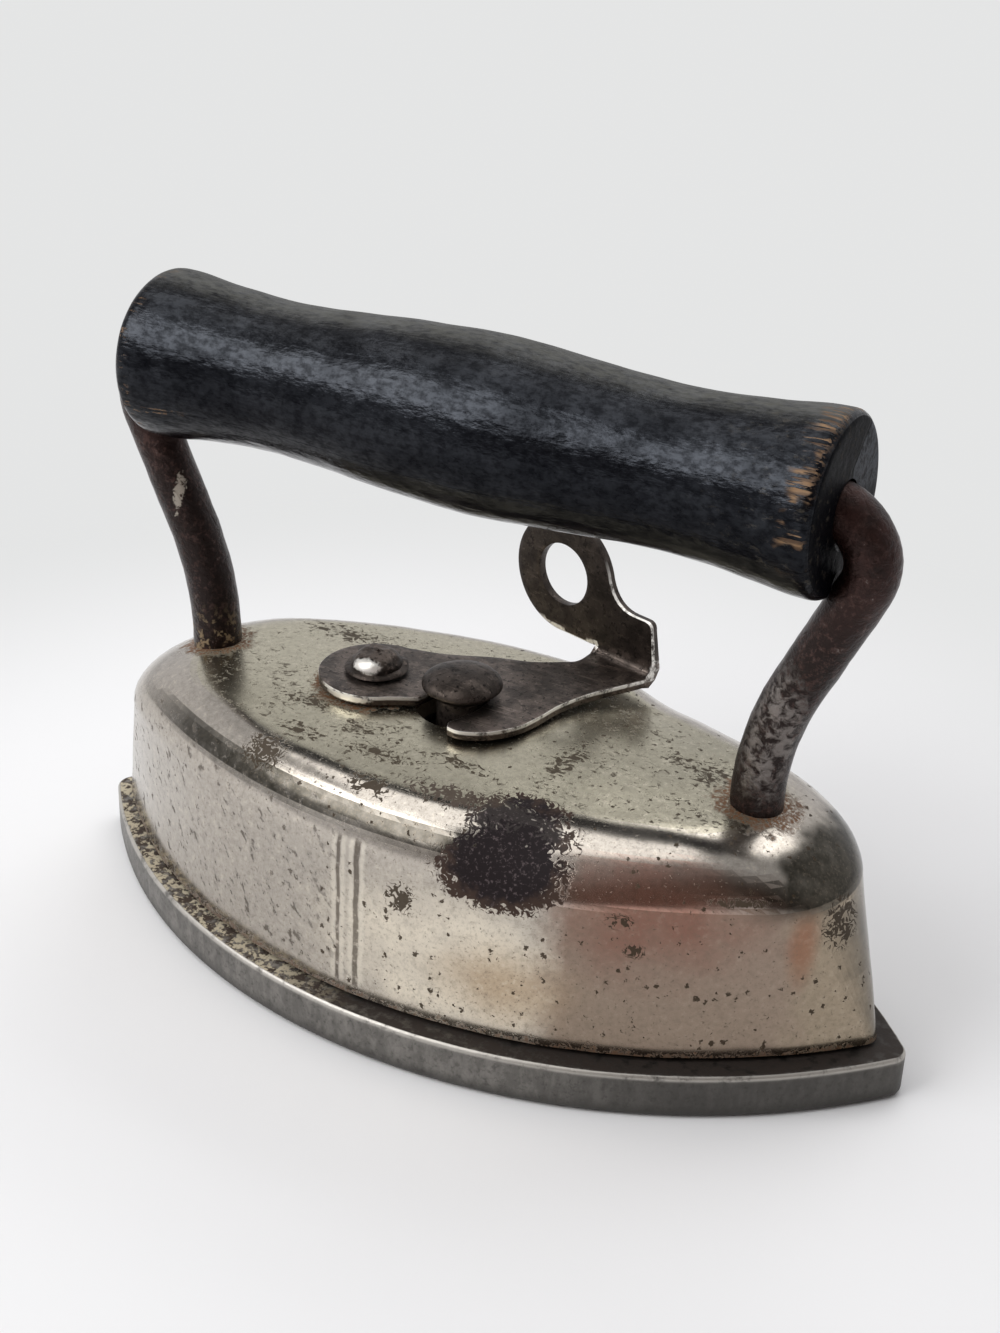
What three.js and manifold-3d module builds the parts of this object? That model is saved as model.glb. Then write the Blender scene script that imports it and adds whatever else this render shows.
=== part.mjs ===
// Sad iron with a lift-off hood, child's size. A solid cast-iron core is the sole and the heat store.
// A lined sheet-steel hood carries the handle and drops over the core, and a swinging latch on the
// hood hooks under a stud that stands on the core.
// Millimetres, +Z up. +X points to the tip on the photograph's right, -Y to its near side.
// The origin is on the table, under the middle of the sole.
import * as THREE from "three";
import { mergeVertices } from "three/addons/utils/BufferGeometryUtils.js";
import Module from "manifold-3d";

const wasm = await Module();
wasm.setup();

const degrees = Math.PI / 180;

// Fits
const seatGap = 0.3; // between a piece and the piece that it lies against
const pinGap = 0.25; // round a pin in its hole
const runGap = 0.25; // over and under the swinging latch
const overrun = 2; // how far a cutter passes the face that it cuts
const weld = 0.05; // how far joined bodies reach into each other
const sharpestTip = 0.3;
const nearest = 0.02; // closer points of an outline count as one

// Core: a double-pointed sole with a flange, a body that fills the hood, and a raised seat on top
const soleLength = 100.6;
const soleWidth = 48.3;
const soleTipRadius = 2;
const flangeHeight = 5.2;
const soleEdgeRadius = 0.9;
const ledgeEdgeRadius = 0.5;
const bodyClearance = 1; // from the body to the lining of the hood
const bodyTop = 22.6;
const bodyShoulder = 3;
const bodyTipShoulder = 5;
const seatClearance = 2.75; // from the seat's ends to the rod's washers
const seatWidth = 18;
const seatTipRadius = 3;
const recessClearance = 0.9; // round the pivot's washer in its recess
const recessDepthBelowTail = 0.6;

// Hood: pressed shell with the same double-pointed plan, standing clear of the flange
const hoodShift = -0.5; // the hood rests half a millimetre to the rear, inside its play
const hoodLength = 95.2;
const hoodWidth = 43.7;
const rimHeight = 5.7;
const hoodTop = 29.5;
const hoodCrown = 0.75;
const shoulderHeight = 7;
const shoulderWidth = 6;
const tipShoulderWidth = 12.2;
const tipShoulderEase = 0.85; // below 1 the shoulder falls away sooner at the tips than at the sides
const sideDraft = 1.5 * degrees;
const tipDraft = 14.2 * degrees;
const rimTipShare = 0.09; // radius of the tips as a share of the half width, at the rim
const topTipShare = 0.72; // and at the top
const shellThickness = 0.8;

// Lining and the plate that holds it up
const liningThickness = 1.2;
const liningRimMargin = 1;
const plateThickness = 0.8;
const plateMargin = 0.5;

// Latch stud
const studX = -2.4;
const studDepth = 12.3;
const neckDiameter = 5.4;
const studHeadDiameter = 8.6;
const studTaperHeight = 0.9; // the head's underside slopes up from the neck to the rim
const studTaperShare = 0.25; // of that slope is flat round the neck
const studRimHeight = 0.3;
const studDomeHeight = 1.75;
const studHoleDiameter = 9.8;

// Latch lever
const leverThickness = 1;
const pivotToStud = 10.8;
const eyeRadius = 6.3;
const slotGap = 0.4;
const foldAngle = -14.5 * degrees;
const foldReach = 21.4; // from the pivot to the tab's free edge, along the fold
const tabReach = 21; // and to the tab's near face, across it
const foldWidth = 8.4;
const bendRadius = 0.8;
const tabHeight = 6.1;
const tabLean = 0.6;
const tabCornerRadius = 1;
const tabShoulderShare = 0.75;
const ringRadius = 6.9;
const ringHoleRadius = 3.6;
const ringSetback = 13.7; // from the tab's free edge to the ring's centre
const ringCentreHeight = 7.6;
const ringStart = 12 * degrees; // where the tab's shoulder runs into the ring
const ringEnd = 278 * degrees; // and where the ring runs into the notch

// Pivot rivet
const pivotDiameter = 3;
const pivotHeadDiameter = 7;
const pivotBrimHeight = 0.4;
const pivotDomeDiameter = 5.8;
const pivotDomeHeight = 1.9;
const pivotTailDiameter = 4.4;
const pivotTailHeight = 1.1;
const washerThickness = 0.8;
const pivotWasherDiameter = 6;

// Handle
const handleSetback = -0.95; // the handle's middle from the hood's middle
const rodDiameter = 5.4;
const footPastFlat = 1.86; // from the ends of the hood's flat top to the rod's feet
const kneeHeight = 36.2;
const elbowReach = 6.2; // from the grip's end to the leg's middle line, at the grip's axis
const kneeBendRadius = 32;
const elbowBendRadius = 5.3;
const tenonDiameter = 3.4;
const footTailDiameter = 5;
const footTailHeight = 1.2;
const footWasherDiameter = 6;
const gripAxisHeight = 61.7;
const gripLength = 77.6;
const gripDiameter = 18.1;
const gripEndRadius = 0.9;
const seamTilt = 24 * degrees; // the joint of the two grip halves leans down to the near side
const seamGap = 0.06;

// Facets
const sideSteps = 18;
const tipSteps = 5;
const shoulderSteps = 5;
const roundSteps = 24;
const rodSides = 16;
const bendSteps = 7;
const gripSteps = 26;
const cornerSteps = 3;

// Places that follow from the sizes
const wallTop = hoodTop - hoodCrown - shoulderHeight;
const liningInset = shellThickness + seatGap;
const liningInnerInset = liningInset + liningThickness;
const padTop = hoodTop - liningInset;
const plateTop = padTop - hoodCrown - liningThickness;
const plateBottom = plateTop - plateThickness;
const seatTop = plateBottom - seatGap;
const leverBottom = hoodTop + runGap;
const leverTop = leverBottom + leverThickness;
const headBottom = leverTop + runGap;
const studInHood = studX - hoodShift;
const pivotInHood = studInHood - pivotToStud;
const washerBottom = plateBottom - washerThickness;
const slotWidth = neckDiameter + 2 * slotGap;
const flatHalfLength = hoodLength / 2 - (wallTop - rimHeight) * Math.tan(tipDraft) - tipShoulderWidth;
const footSpacing = 2 * (flatHalfLength + footPastFlat);
const frontFootX = hoodShift + handleSetback + footSpacing / 2;
const seatHalfLength = frontFootX - footWasherDiameter / 2 - seatClearance;

function solidFrom(geometry) {
  const bare = geometry.clone();
  for (const name of Object.keys(bare.attributes)) {
    if (name !== "position") bare.deleteAttribute(name);
  }
  const merged = mergeVertices(bare);
  return new wasm.Manifold(
    new wasm.Mesh({
      numProp: 3,
      vertProperties: merged.attributes.position.array,
      triVerts: new Uint32Array(merged.index.array),
    }),
  );
}

function geometryFrom(solid) {
  const cut = solid.getMesh();
  const geometry = new THREE.BufferGeometry();
  geometry.setAttribute("position", new THREE.BufferAttribute(new Float32Array(cut.vertProperties), 3));
  geometry.setIndex(new THREE.BufferAttribute(new Uint32Array(cut.triVerts), 1));
  return geometry;
}

function subtractAll(solid, cutters) {
  return cutters.reduce((rest, cutter) => rest.subtract(cutter), solid);
}

function addAll(solids) {
  return solids.reduce((sum, solid) => sum.add(solid));
}

// Points round an arc, without the last one
function arcPoints(centreX, centreY, radius, from, to, steps) {
  return Array.from({ length: steps }, (_, i) => {
    const angle = from + ((to - from) * i) / steps;
    return new THREE.Vector2(centreX + radius * Math.cos(angle), centreY + radius * Math.sin(angle));
  });
}

// Double-pointed plan outline: two long side arcs that meet in round tips. A positive inset draws it in
// by the same amount all round.
function lensOutline({ halfLength, halfWidth, tipRadius }, inset = 0) {
  const tipCentre = halfLength - tipRadius;
  const sideRadius = (tipCentre ** 2 + halfWidth ** 2 - tipRadius ** 2) / (2 * (halfWidth - tipRadius));
  const drop = sideRadius - halfWidth;
  const side = sideRadius - inset;
  const tip = Math.max(tipRadius - inset, sharpestTip);
  const tipX = Math.sqrt((side - tip) ** 2 - drop ** 2);
  const swing = Math.atan2(tipX, drop);
  const quarter = Math.PI / 2;
  return [
    ...arcPoints(tipX, 0, tip, swing - quarter, quarter - swing, tipSteps),
    ...arcPoints(0, -drop, side, quarter - swing, quarter + swing, sideSteps),
    ...arcPoints(-tipX, 0, tip, quarter + swing, 3 * quarter - swing, tipSteps),
    ...arcPoints(0, drop, side, 3 * quarter - swing, 3 * quarter + swing, sideSteps),
  ];
}

// Closed solid through level outlines of equal point counts, from the lowest up
function loft(levels, peak) {
  const positions = [];
  const count = levels[0].outline.length;
  const corner = ({ outline, z }, i) => [outline[i % count].x, outline[i % count].y, z];
  const lowest = levels[0];
  const highest = levels[levels.length - 1];
  for (let i = 0; i < count; i += 1) {
    positions.push(0, 0, lowest.z, ...corner(lowest, i + 1), ...corner(lowest, i));
    levels.slice(1).forEach((upper, n) => {
      const lower = levels[n];
      positions.push(...corner(lower, i), ...corner(lower, i + 1), ...corner(upper, i + 1));
      positions.push(...corner(lower, i), ...corner(upper, i + 1), ...corner(upper, i));
    });
    positions.push(0, 0, peak ?? highest.z, ...corner(highest, i), ...corner(highest, i + 1));
  }
  const geometry = new THREE.BufferGeometry();
  geometry.setAttribute("position", new THREE.BufferAttribute(new Float32Array(positions), 3));
  return solidFrom(geometry);
}

// Plan of the hood's form at a height, drawn in further at its sides and tips by the shoulder
function formOutline(z, wallHeight, sideIn, tipIn, inset) {
  const rise = Math.min(z, wallHeight) - rimHeight;
  const halfWidth = hoodWidth / 2 - rise * Math.tan(sideDraft) - sideIn;
  const roundness = THREE.MathUtils.lerp(rimTipShare, topTipShare, (z - rimHeight) / (hoodTop - rimHeight));
  return lensOutline(
    {
      halfLength: hoodLength / 2 - rise * Math.tan(tipDraft) - tipIn,
      halfWidth,
      tipRadius: Math.max(halfWidth * roundness, sharpestTip),
    },
    inset,
  );
}

// The hood's form, or one nested inside it: drafted walls, a rolled shoulder and a slightly crowned top
function hoodForm({ inset, bottom, top, crown, shoulder, tipShoulder, height }) {
  const wallHeight = top - crown - height;
  const levels = [bottom, (bottom + wallHeight) / 2, wallHeight].map((z) => ({
    z,
    outline: formOutline(z, wallHeight, 0, 0, inset),
  }));
  for (let i = 1; i <= shoulderSteps; i += 1) {
    const turn = (Math.PI / 2) * (i / shoulderSteps);
    const drawn = 1 - Math.cos(turn);
    const z = wallHeight + height * Math.sin(turn);
    const tipIn = tipShoulder * drawn ** tipShoulderEase;
    levels.push({ z, outline: formOutline(z, wallHeight, shoulder * drawn, tipIn, inset) });
  }
  const edge = levels[levels.length - 1].outline;
  const crownShares = [0.66, 0.33];
  for (const share of crown > 0 ? crownShares : []) {
    levels.push({ z: top - crown * share ** 2, outline: edge.map((p) => p.clone().multiplyScalar(share)) });
  }
  return loft(levels, top);
}

// A form nested in the hood's shell by the same depth at its walls, shoulder and top
function nestedForm(depth, bottom) {
  const top = hoodTop - depth;
  return hoodForm({
    inset: depth,
    bottom,
    top,
    crown: hoodCrown,
    shoulder: shoulderWidth - depth,
    tipShoulder: tipShoulderWidth - depth,
    height: top - hoodCrown - wallTop,
  });
}

// Solid of revolution about Z from [radius, height] points that run up the outside
function turned(points, steps = roundSteps) {
  const profile = points.map(([radius, z]) => new THREE.Vector2(radius, z));
  return solidFrom(new THREE.LatheGeometry(profile, steps).rotateX(Math.PI / 2));
}

function pin(radius, bottom, top, x) {
  const height = top - bottom;
  return turned([
    [0, 0],
    [radius, 0],
    [radius, height],
    [0, height],
  ]).translate([x, 0, bottom]);
}

// Points of a dome from its rim up to the axis
function domePoints(radius, bottom, height, steps = shoulderSteps) {
  return Array.from({ length: steps }, (_, i) => {
    const turn = (Math.PI / 2) * (i / steps);
    return [radius * Math.cos(turn), bottom + height * Math.sin(turn)];
  }).concat([[0, bottom + height]]);
}

function washer(innerDiameter, outerDiameter, x) {
  return turned([
    [innerDiameter / 2, 0],
    [outerDiameter / 2, 0],
    [outerDiameter / 2, washerThickness],
    [innerDiameter / 2, washerThickness],
    [innerDiameter / 2, 0],
  ]).translate([x, 0, washerBottom]);
}

function box(width, depth, height) {
  return solidFrom(new THREE.BoxGeometry(width, depth, height));
}

function flatExtrusion(shape, depth) {
  return new THREE.ExtrudeGeometry(shape, { depth, bevelEnabled: false });
}

// Core casting, with the stud's bore and a recess for the pivot's riveted end
function makeCore() {
  const sole = { halfLength: soleLength / 2, halfWidth: soleWidth / 2, tipRadius: soleTipRadius };
  const edge = (radius, turn) => radius * (1 - Math.sin(turn));
  const levels = [];
  for (const share of [0, 0.5, 1]) {
    const turn = (Math.PI / 2) * share;
    const z = soleEdgeRadius * (1 - Math.cos(turn));
    levels.push({ z, outline: lensOutline(sole, edge(soleEdgeRadius, turn)) });
  }
  for (const share of [1, 0.5, 0]) {
    const turn = (Math.PI / 2) * share;
    const z = flangeHeight - ledgeEdgeRadius * (1 - Math.cos(turn));
    levels.push({ z, outline: lensOutline(sole, edge(ledgeEdgeRadius, turn)) });
  }
  const body = hoodForm({
    inset: liningInnerInset + bodyClearance,
    bottom: flangeHeight - weld,
    top: bodyTop,
    crown: 0,
    shoulder: bodyShoulder,
    tipShoulder: bodyTipShoulder,
    height: bodyShoulder,
  });
  const seatPlan = { halfLength: seatHalfLength, halfWidth: seatWidth / 2, tipRadius: seatTipRadius };
  const seatOutline = lensOutline(seatPlan);
  const seat = loft([
    { z: bodyTop - weld, outline: seatOutline },
    { z: seatTop, outline: seatOutline },
  ]);
  const recessFloor = washerBottom - pivotTailHeight - recessDepthBelowTail;
  const recessRadius = pivotWasherDiameter / 2 + recessClearance;
  return subtractAll(addAll([loft(levels), body, seat]), [
    pin(neckDiameter / 2 + seatGap, seatTop - studDepth, seatTop + overrun, studX),
    pin(recessRadius, recessFloor, seatTop + overrun, pivotInHood + hoodShift),
  ]);
}

function makeStud() {
  const neck = neckDiameter / 2;
  const head = studHeadDiameter / 2;
  const rimBottom = headBottom + studTaperHeight;
  return turned([
    [0, seatTop - studDepth + seatGap],
    [neck, seatTop - studDepth + seatGap],
    [neck, headBottom],
    [THREE.MathUtils.lerp(neck, head, studTaperShare), headBottom],
    [head, rimBottom],
    ...domePoints(head, rimBottom + studRimHeight, studDomeHeight),
  ]).translate([studX, 0, 0]);
}

// What goes through the hood's top: the stud's head, the pivot and the two feet of the rod
function topHoles() {
  const bottom = plateBottom - overrun;
  const top = hoodTop + overrun;
  return [
    pin(studHoleDiameter / 2, bottom, top, studInHood),
    pin(pivotDiameter / 2 + pinGap, bottom, top, pivotInHood),
    pin(tenonDiameter / 2 + pinGap, bottom, top, handleSetback - footSpacing / 2),
    pin(tenonDiameter / 2 + pinGap, bottom, top, handleSetback + footSpacing / 2),
  ];
}

function makeHoodShell() {
  const inside = nestedForm(shellThickness, rimHeight - overrun);
  return subtractAll(nestedForm(0, rimHeight), [inside, ...topHoles()]);
}

// Heat-resisting board under the hood's top, flat where the plate presses on it
function makeLiningPad() {
  const whole = nestedForm(liningInset, rimHeight);
  const below = box(hoodLength, hoodWidth, plateTop).translate([0, 0, plateTop / 2]);
  return subtractAll(whole, [below, ...topHoles()]);
}

// One of the two wall strips of the lining, +1 for the far side and -1 for the near side
function makeLiningStrip(side) {
  const bottom = rimHeight + liningRimMargin;
  const top = washerBottom - seatGap;
  const height = top - bottom;
  const middle = (side * (hoodWidth + seatGap)) / 2;
  const reach = box(hoodLength, hoodWidth, height).translate([0, middle, bottom + height / 2]);
  const inside = nestedForm(liningInnerInset, bottom - overrun);
  return nestedForm(liningInset, bottom - overrun)
    .subtract(inside)
    .intersect(reach);
}

function makeRetainingPlate() {
  const rise = (plateTop - wallTop) / (padTop - hoodCrown - wallTop);
  const drawn = 1 - Math.sqrt(1 - rise ** 2);
  const sideIn = (shoulderWidth - liningInset) * drawn;
  const tipIn = (tipShoulderWidth - liningInset) * drawn ** tipShoulderEase;
  const outline = formOutline(plateTop, wallTop, sideIn, tipIn, liningInset + plateMargin);
  const blank = loft([
    { z: plateBottom, outline },
    { z: plateTop, outline },
  ]);
  return subtractAll(blank, topHoles());
}

// A path through corner points with a round bend at each inner corner, stepped closely in the bends only
class BentPath extends THREE.Curve {
  constructor(corners, bendRadii) {
    super();
    this.stations = [{ point: corners[0], tangent: corners[1].clone().sub(corners[0]).normalize() }];
    for (let i = 1; i < corners.length - 1; i += 1) {
      const arriving = corners[i].clone().sub(corners[i - 1]).normalize();
      const leaving = corners[i + 1].clone().sub(corners[i]).normalize();
      this.addBend(corners[i], arriving, leaving, bendRadii[i - 1]);
    }
    const last = corners[corners.length - 1];
    this.stations.push({ point: last, tangent: this.stations[this.stations.length - 1].tangent });
  }

  addBend(corner, arriving, leaving, radius) {
    const turn = arriving.angleTo(leaving);
    const start = corner.clone().addScaledVector(arriving, -radius * Math.tan(turn / 2));
    const inward = leaving.clone().addScaledVector(arriving, -leaving.dot(arriving)).normalize();
    for (let i = 0; i <= bendSteps; i += 1) {
      const angle = (turn * i) / bendSteps;
      this.stations.push({
        point: start
          .clone()
          .addScaledVector(arriving, radius * Math.sin(angle))
          .addScaledVector(inward, radius * (1 - Math.cos(angle))),
        tangent: arriving.clone().multiplyScalar(Math.cos(angle)).addScaledVector(inward, Math.sin(angle)),
      });
    }
  }

  get steps() {
    return this.stations.length - 1;
  }

  getPointAt(share) {
    return this.stations[Math.round(share * this.steps)].point.clone();
  }

  getTangentAt(share) {
    return this.stations[Math.round(share * this.steps)].tangent.clone();
  }
}

// Round bar along the handle's path, from foot to foot through the grip
function bentBar(radius) {
  const foot = footSpacing / 2;
  const elbow = gripLength / 2 + elbowReach;
  const start = hoodTop - shoulderHeight;
  const corner = (x, z) => new THREE.Vector3(handleSetback + x, 0, z);
  const path = new BentPath(
    [
      corner(-foot, start),
      corner(-foot, kneeHeight),
      corner(-elbow, gripAxisHeight),
      corner(elbow, gripAxisHeight),
      corner(foot, kneeHeight),
      corner(foot, start),
    ],
    [kneeBendRadius, elbowBendRadius, elbowBendRadius, kneeBendRadius],
  );
  const section = new THREE.Shape(arcPoints(0, 0, radius, 0, 2 * Math.PI, rodSides));
  const sweep = { steps: path.steps, bevelEnabled: false, extrudePath: path };
  return solidFrom(new THREE.ExtrudeGeometry(section, sweep));
}

// One bent rod: both legs, the stretch inside the grip, and a shouldered and riveted foot at each end
function makeHandleRod() {
  const foot = footSpacing / 2;
  const hoodBelow = nestedForm(-seatGap, hoodTop - shoulderHeight - overrun);
  const tenonTop = hoodTop + tenonDiameter;
  const ends = [-foot, foot].map((x) =>
    turned(
      [
        [0, washerBottom - footTailHeight],
        [tenonDiameter / 2, washerBottom - footTailHeight],
        [footTailDiameter / 2, washerBottom - footTailHeight / 2],
        [footTailDiameter / 2, washerBottom],
        [tenonDiameter / 2, washerBottom],
        [tenonDiameter / 2, tenonTop],
        [0, tenonTop],
      ],
      rodSides,
    ).translate([handleSetback + x, 0, 0]),
  );
  return addAll([bentBar(rodDiameter / 2).subtract(hoodBelow), ...ends]);
}

// Turned grip, laid along X, less the bore for the rod and the shallow notch under each end where the bent
// rod lies in the wood. Its radii are shares of the middle's radius at shares of the half length.
function gripBlank() {
  const radiusShares = [
    [0, 1],
    [0.2, 0.966],
    [0.4, 0.902],
    [0.6, 0.868],
    [0.8, 0.922],
    [0.92, 0.985],
    [1, 0.99],
  ];
  const half = gripLength / 2;
  const radius = gripDiameter / 2;
  const front = radiusShares.map(([along, across]) => new THREE.Vector2(across * radius, along * half));
  const rear = front.slice(1).reverse().map((p) => new THREE.Vector2(p.x, -p.y));
  const sideEnd = half - gripEndRadius;
  const side = new THREE.SplineCurve([...rear, ...front])
    .getPoints(gripSteps)
    .filter((p) => Math.abs(p.y) < sideEnd - nearest);
  const rim = radius * radiusShares[radiusShares.length - 1][1] - gripEndRadius;
  const frontCorner = arcPoints(rim, sideEnd, gripEndRadius, 0, Math.PI / 2, cornerSteps);
  frontCorner.push(new THREE.Vector2(rim, half));
  const rearCorner = frontCorner.map((p) => new THREE.Vector2(p.x, -p.y)).reverse();
  const ends = [-half, half].map((y) => new THREE.Vector2(0, y));
  const profile = [ends[0], ...rearCorner, ...side, ...frontCorner, ends[1]];
  const rodSpace = bentBar(rodDiameter / 2 + seatGap).translate([-handleSetback, 0, -gripAxisHeight]);
  return solidFrom(new THREE.LatheGeometry(profile, roundSteps).rotateZ(-Math.PI / 2)).subtract(rodSpace);
}

// Half of the grip, +1 for the upper and -1 for the lower one, on the grip's own axis
function makeGripHalf(side) {
  const reach = new THREE.BoxGeometry(gripLength + overrun, 2 * gripDiameter, gripDiameter);
  reach.translate(0, 0, (side * (gripDiameter + seamGap)) / 2);
  reach.rotateX(seamTilt);
  return gripBlank().intersect(solidFrom(reach));
}

// Points of an outline, less those that fall on the next one
function distinct(points) {
  return points.filter((point, i) => point.distanceTo(points[(i + 1) % points.length]) > nearest);
}

function circleHole(x, y, radius) {
  return new THREE.Path(arcPoints(x, y, radius, 2 * Math.PI, 0, roundSteps));
}

// Plan of the lever, its pivot at zero and X along the fold. The slot is an arc round the pivot and opens
// to the near side.
function leverPlan() {
  const innerWall = pivotToStud - slotWidth / 2;
  const outerWall = pivotToStud + slotWidth / 2;
  const studAngle = -foldAngle;
  const eyeStart = 103 * degrees;
  const eyeEnd = 332 * degrees;
  const innerMouth = -8 * degrees;
  const outerMouth = -12.5 * degrees;
  const slotX = pivotToStud * Math.cos(studAngle);
  const slotY = pivotToStud * Math.sin(studAngle);
  const foldY = tabReach - bendRadius;
  // Shares of the fold's length and reach
  const hookEdgeShares = [
    [0.666, -0.154],
    [0.74, -0.14],
    [0.835, -0.05],
    [0.897, 0.1],
    [0.9, 0.25],
    [0.886, 0.42],
    [0.902, 0.6],
    [0.945, 0.76],
  ];
  const farEdgeShares = [
    [0.622, 0.86],
    [0.59, 0.795],
    [0.473, 0.665],
    [0.304, 0.552],
    [0.112, 0.393],
  ];
  const place = ([x, y]) => new THREE.Vector2(x * foldReach, y * tabReach);
  const nearEnd = new THREE.Vector2(foldReach, foldY);
  const farEnd = new THREE.Vector2(foldReach - foldWidth, foldY);
  const eye = arcPoints(0, 0, eyeRadius, eyeStart, eyeEnd, roundSteps);
  const shape = new THREE.Shape(
    distinct([
      ...eye,
      ...arcPoints(0, 0, innerWall, innerMouth, studAngle, shoulderSteps),
      ...arcPoints(slotX, slotY, slotWidth / 2, Math.PI + studAngle, studAngle, roundSteps / 2),
      ...arcPoints(0, 0, outerWall, studAngle, outerMouth, shoulderSteps),
      ...new THREE.SplineCurve([...hookEdgeShares.map(place), nearEnd]).getPoints(roundSteps),
      ...new THREE.SplineCurve([farEnd, ...farEdgeShares.map(place), eye[0]]).getPoints(roundSteps),
    ]),
  );
  shape.holes.push(circleHole(0, 0, pivotDiameter / 2 + pinGap));
  return shape;
}

// Upright tab with its finger ring: X along the fold and zero at the tab's free edge, Y up from the bend
function tabOutline() {
  const ringX = -ringSetback;
  const ringY = ringCentreHeight - bendRadius;
  const height = tabHeight - bendRadius;
  const shoulderX = (-tabShoulderShare * foldWidth) / 2;
  const corner = new THREE.Vector2(-tabLean, height);
  const cornerIn = corner.clone().setX(corner.x - tabCornerRadius);
  const cornerDown = corner.clone().setY(corner.y - tabCornerRadius);
  const ring = arcPoints(ringX, ringY, ringRadius, ringStart, ringEnd, roundSteps);
  const shoulder = new THREE.Vector2(shoulderX, height);
  const neckX = ring[0].x + tabCornerRadius;
  const fillet = new THREE.QuadraticBezierCurve(shoulder, new THREE.Vector2(neckX, height), ring[0]);
  const notchTop = new THREE.Vector2(-foldWidth - tabCornerRadius, ringY - ringRadius);
  const notch = new THREE.Vector2(-foldWidth, 0);
  const notchCorner = new THREE.Vector2(-foldWidth, ringY - ringRadius);
  const shape = new THREE.Shape(
    distinct([
      new THREE.Vector2(0, 0),
      ...new THREE.QuadraticBezierCurve(cornerDown, corner, cornerIn).getPoints(shoulderSteps),
      ...fillet.getPoints(shoulderSteps),
      ...ring,
      ...new THREE.QuadraticBezierCurve(notchTop, notchCorner, notch).getPoints(shoulderSteps),
    ]),
  );
  shape.holes.push(circleHole(ringX, ringY, ringHoleRadius));
  return shape;
}

// Lever about its pivot, with its underside at zero: flat plate, a quarter bend and the upright tab
function makeLever() {
  const outerBendRadius = bendRadius + leverThickness;
  const bendTop = outerBendRadius;
  const bendStart = tabReach - bendRadius;
  const quarter = Math.PI / 2;
  const bend = new THREE.Shape([
    ...arcPoints(bendStart, bendTop, bendRadius, -quarter, 0, shoulderSteps),
    new THREE.Vector2(tabReach, bendTop),
    ...arcPoints(bendStart, bendTop, outerBendRadius, 0, -quarter, shoulderSteps),
    new THREE.Vector2(bendStart, 0),
  ]);
  const alongFold = new THREE.Vector3(1, 0, 0);
  const acrossFold = new THREE.Vector3(0, 1, 0);
  const up = new THREE.Vector3(0, 0, 1);
  const bendFrame = new THREE.Matrix4().makeBasis(acrossFold, up, alongFold);
  bendFrame.setPosition(foldReach - foldWidth, 0, 0);
  const tabFrame = new THREE.Matrix4().makeBasis(alongFold, up, acrossFold.negate());
  tabFrame.setPosition(foldReach, tabReach + leverThickness, bendTop);
  return addAll([
    solidFrom(flatExtrusion(leverPlan(), leverThickness)),
    solidFrom(flatExtrusion(bend, foldWidth).applyMatrix4(bendFrame)),
    solidFrom(flatExtrusion(tabOutline(), leverThickness).applyMatrix4(tabFrame)),
  ]);
}

// Pivot rivet: a brimmed dome over the lever and a spread tail under the washer
function makePivotRivet() {
  const shank = pivotDiameter / 2;
  const tail = washerBottom - pivotTailHeight;
  return turned([
    [0, tail],
    [shank, tail],
    [pivotTailDiameter / 2, washerBottom - pivotTailHeight / 2],
    [pivotTailDiameter / 2, washerBottom],
    [shank, washerBottom],
    [shank, headBottom],
    [pivotHeadDiameter / 2, headBottom],
    [pivotHeadDiameter / 2, headBottom + pivotBrimHeight],
    ...domePoints(pivotDomeDiameter / 2, headBottom + pivotBrimHeight, pivotDomeHeight),
  ]).translate([pivotInHood, 0, 0]);
}

const finish = (color, roughness, metalness) =>
  new THREE.MeshStandardMaterial({ color, roughness, metalness, flatShading: true });

const materials = {
  castIron: finish(0x3d3a37, 0.55, 0.8),
  wornNickel: finish(0xa8a593, 0.35, 0.9),
  rustedSteel: finish(0x3a2a26, 0.6, 0.7),
  darkSteel: finish(0x35302e, 0.45, 0.8),
  plainSteel: finish(0x7d7a76, 0.5, 0.8),
  board: finish(0xb9b3a4, 0.95, 0),
  blackWood: finish(0x17171a, 0.35, 0),
};

const iron = new THREE.Group();
const hood = new THREE.Group();
const grip = new THREE.Group();
const latch = new THREE.Group();
iron.add(hood);
hood.add(grip, latch);
hood.position.x = hoodShift;
grip.position.set(handleSetback, 0, gripAxisHeight);
latch.position.set(pivotInHood, 0, leverBottom);
latch.rotation.z = foldAngle;

function addMesh(parent, name, solid, material) {
  const mesh = new THREE.Mesh(geometryFrom(solid), material);
  mesh.name = name;
  parent.add(mesh);
}

const footHole = tenonDiameter + 2 * pinGap;
const footX = (side) => handleSetback + (side * footSpacing) / 2;

addMesh(iron, "core", makeCore(), materials.castIron);
addMesh(iron, "latch_stud", makeStud(), materials.darkSteel);
addMesh(hood, "hood_shell", makeHoodShell(), materials.wornNickel);
addMesh(hood, "lining_pad", makeLiningPad(), materials.board);
addMesh(hood, "lining_strip_far", makeLiningStrip(1), materials.board);
addMesh(hood, "lining_strip_near", makeLiningStrip(-1), materials.board);
addMesh(hood, "retaining_plate", makeRetainingPlate(), materials.plainSteel);
addMesh(hood, "handle_rod", makeHandleRod(), materials.rustedSteel);
addMesh(hood, "front_rod_washer", washer(footHole, footWasherDiameter, footX(1)), materials.plainSteel);
addMesh(hood, "rear_rod_washer", washer(footHole, footWasherDiameter, footX(-1)), materials.plainSteel);
addMesh(hood, "pivot_rivet", makePivotRivet(), materials.darkSteel);
addMesh(
  hood,
  "pivot_washer",
  washer(pivotDiameter + 2 * pinGap, pivotWasherDiameter, pivotInHood),
  materials.plainSteel,
);
addMesh(grip, "grip_upper_half", makeGripHalf(1), materials.blackWood);
addMesh(grip, "grip_lower_half", makeGripHalf(-1), materials.blackWood);
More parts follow.
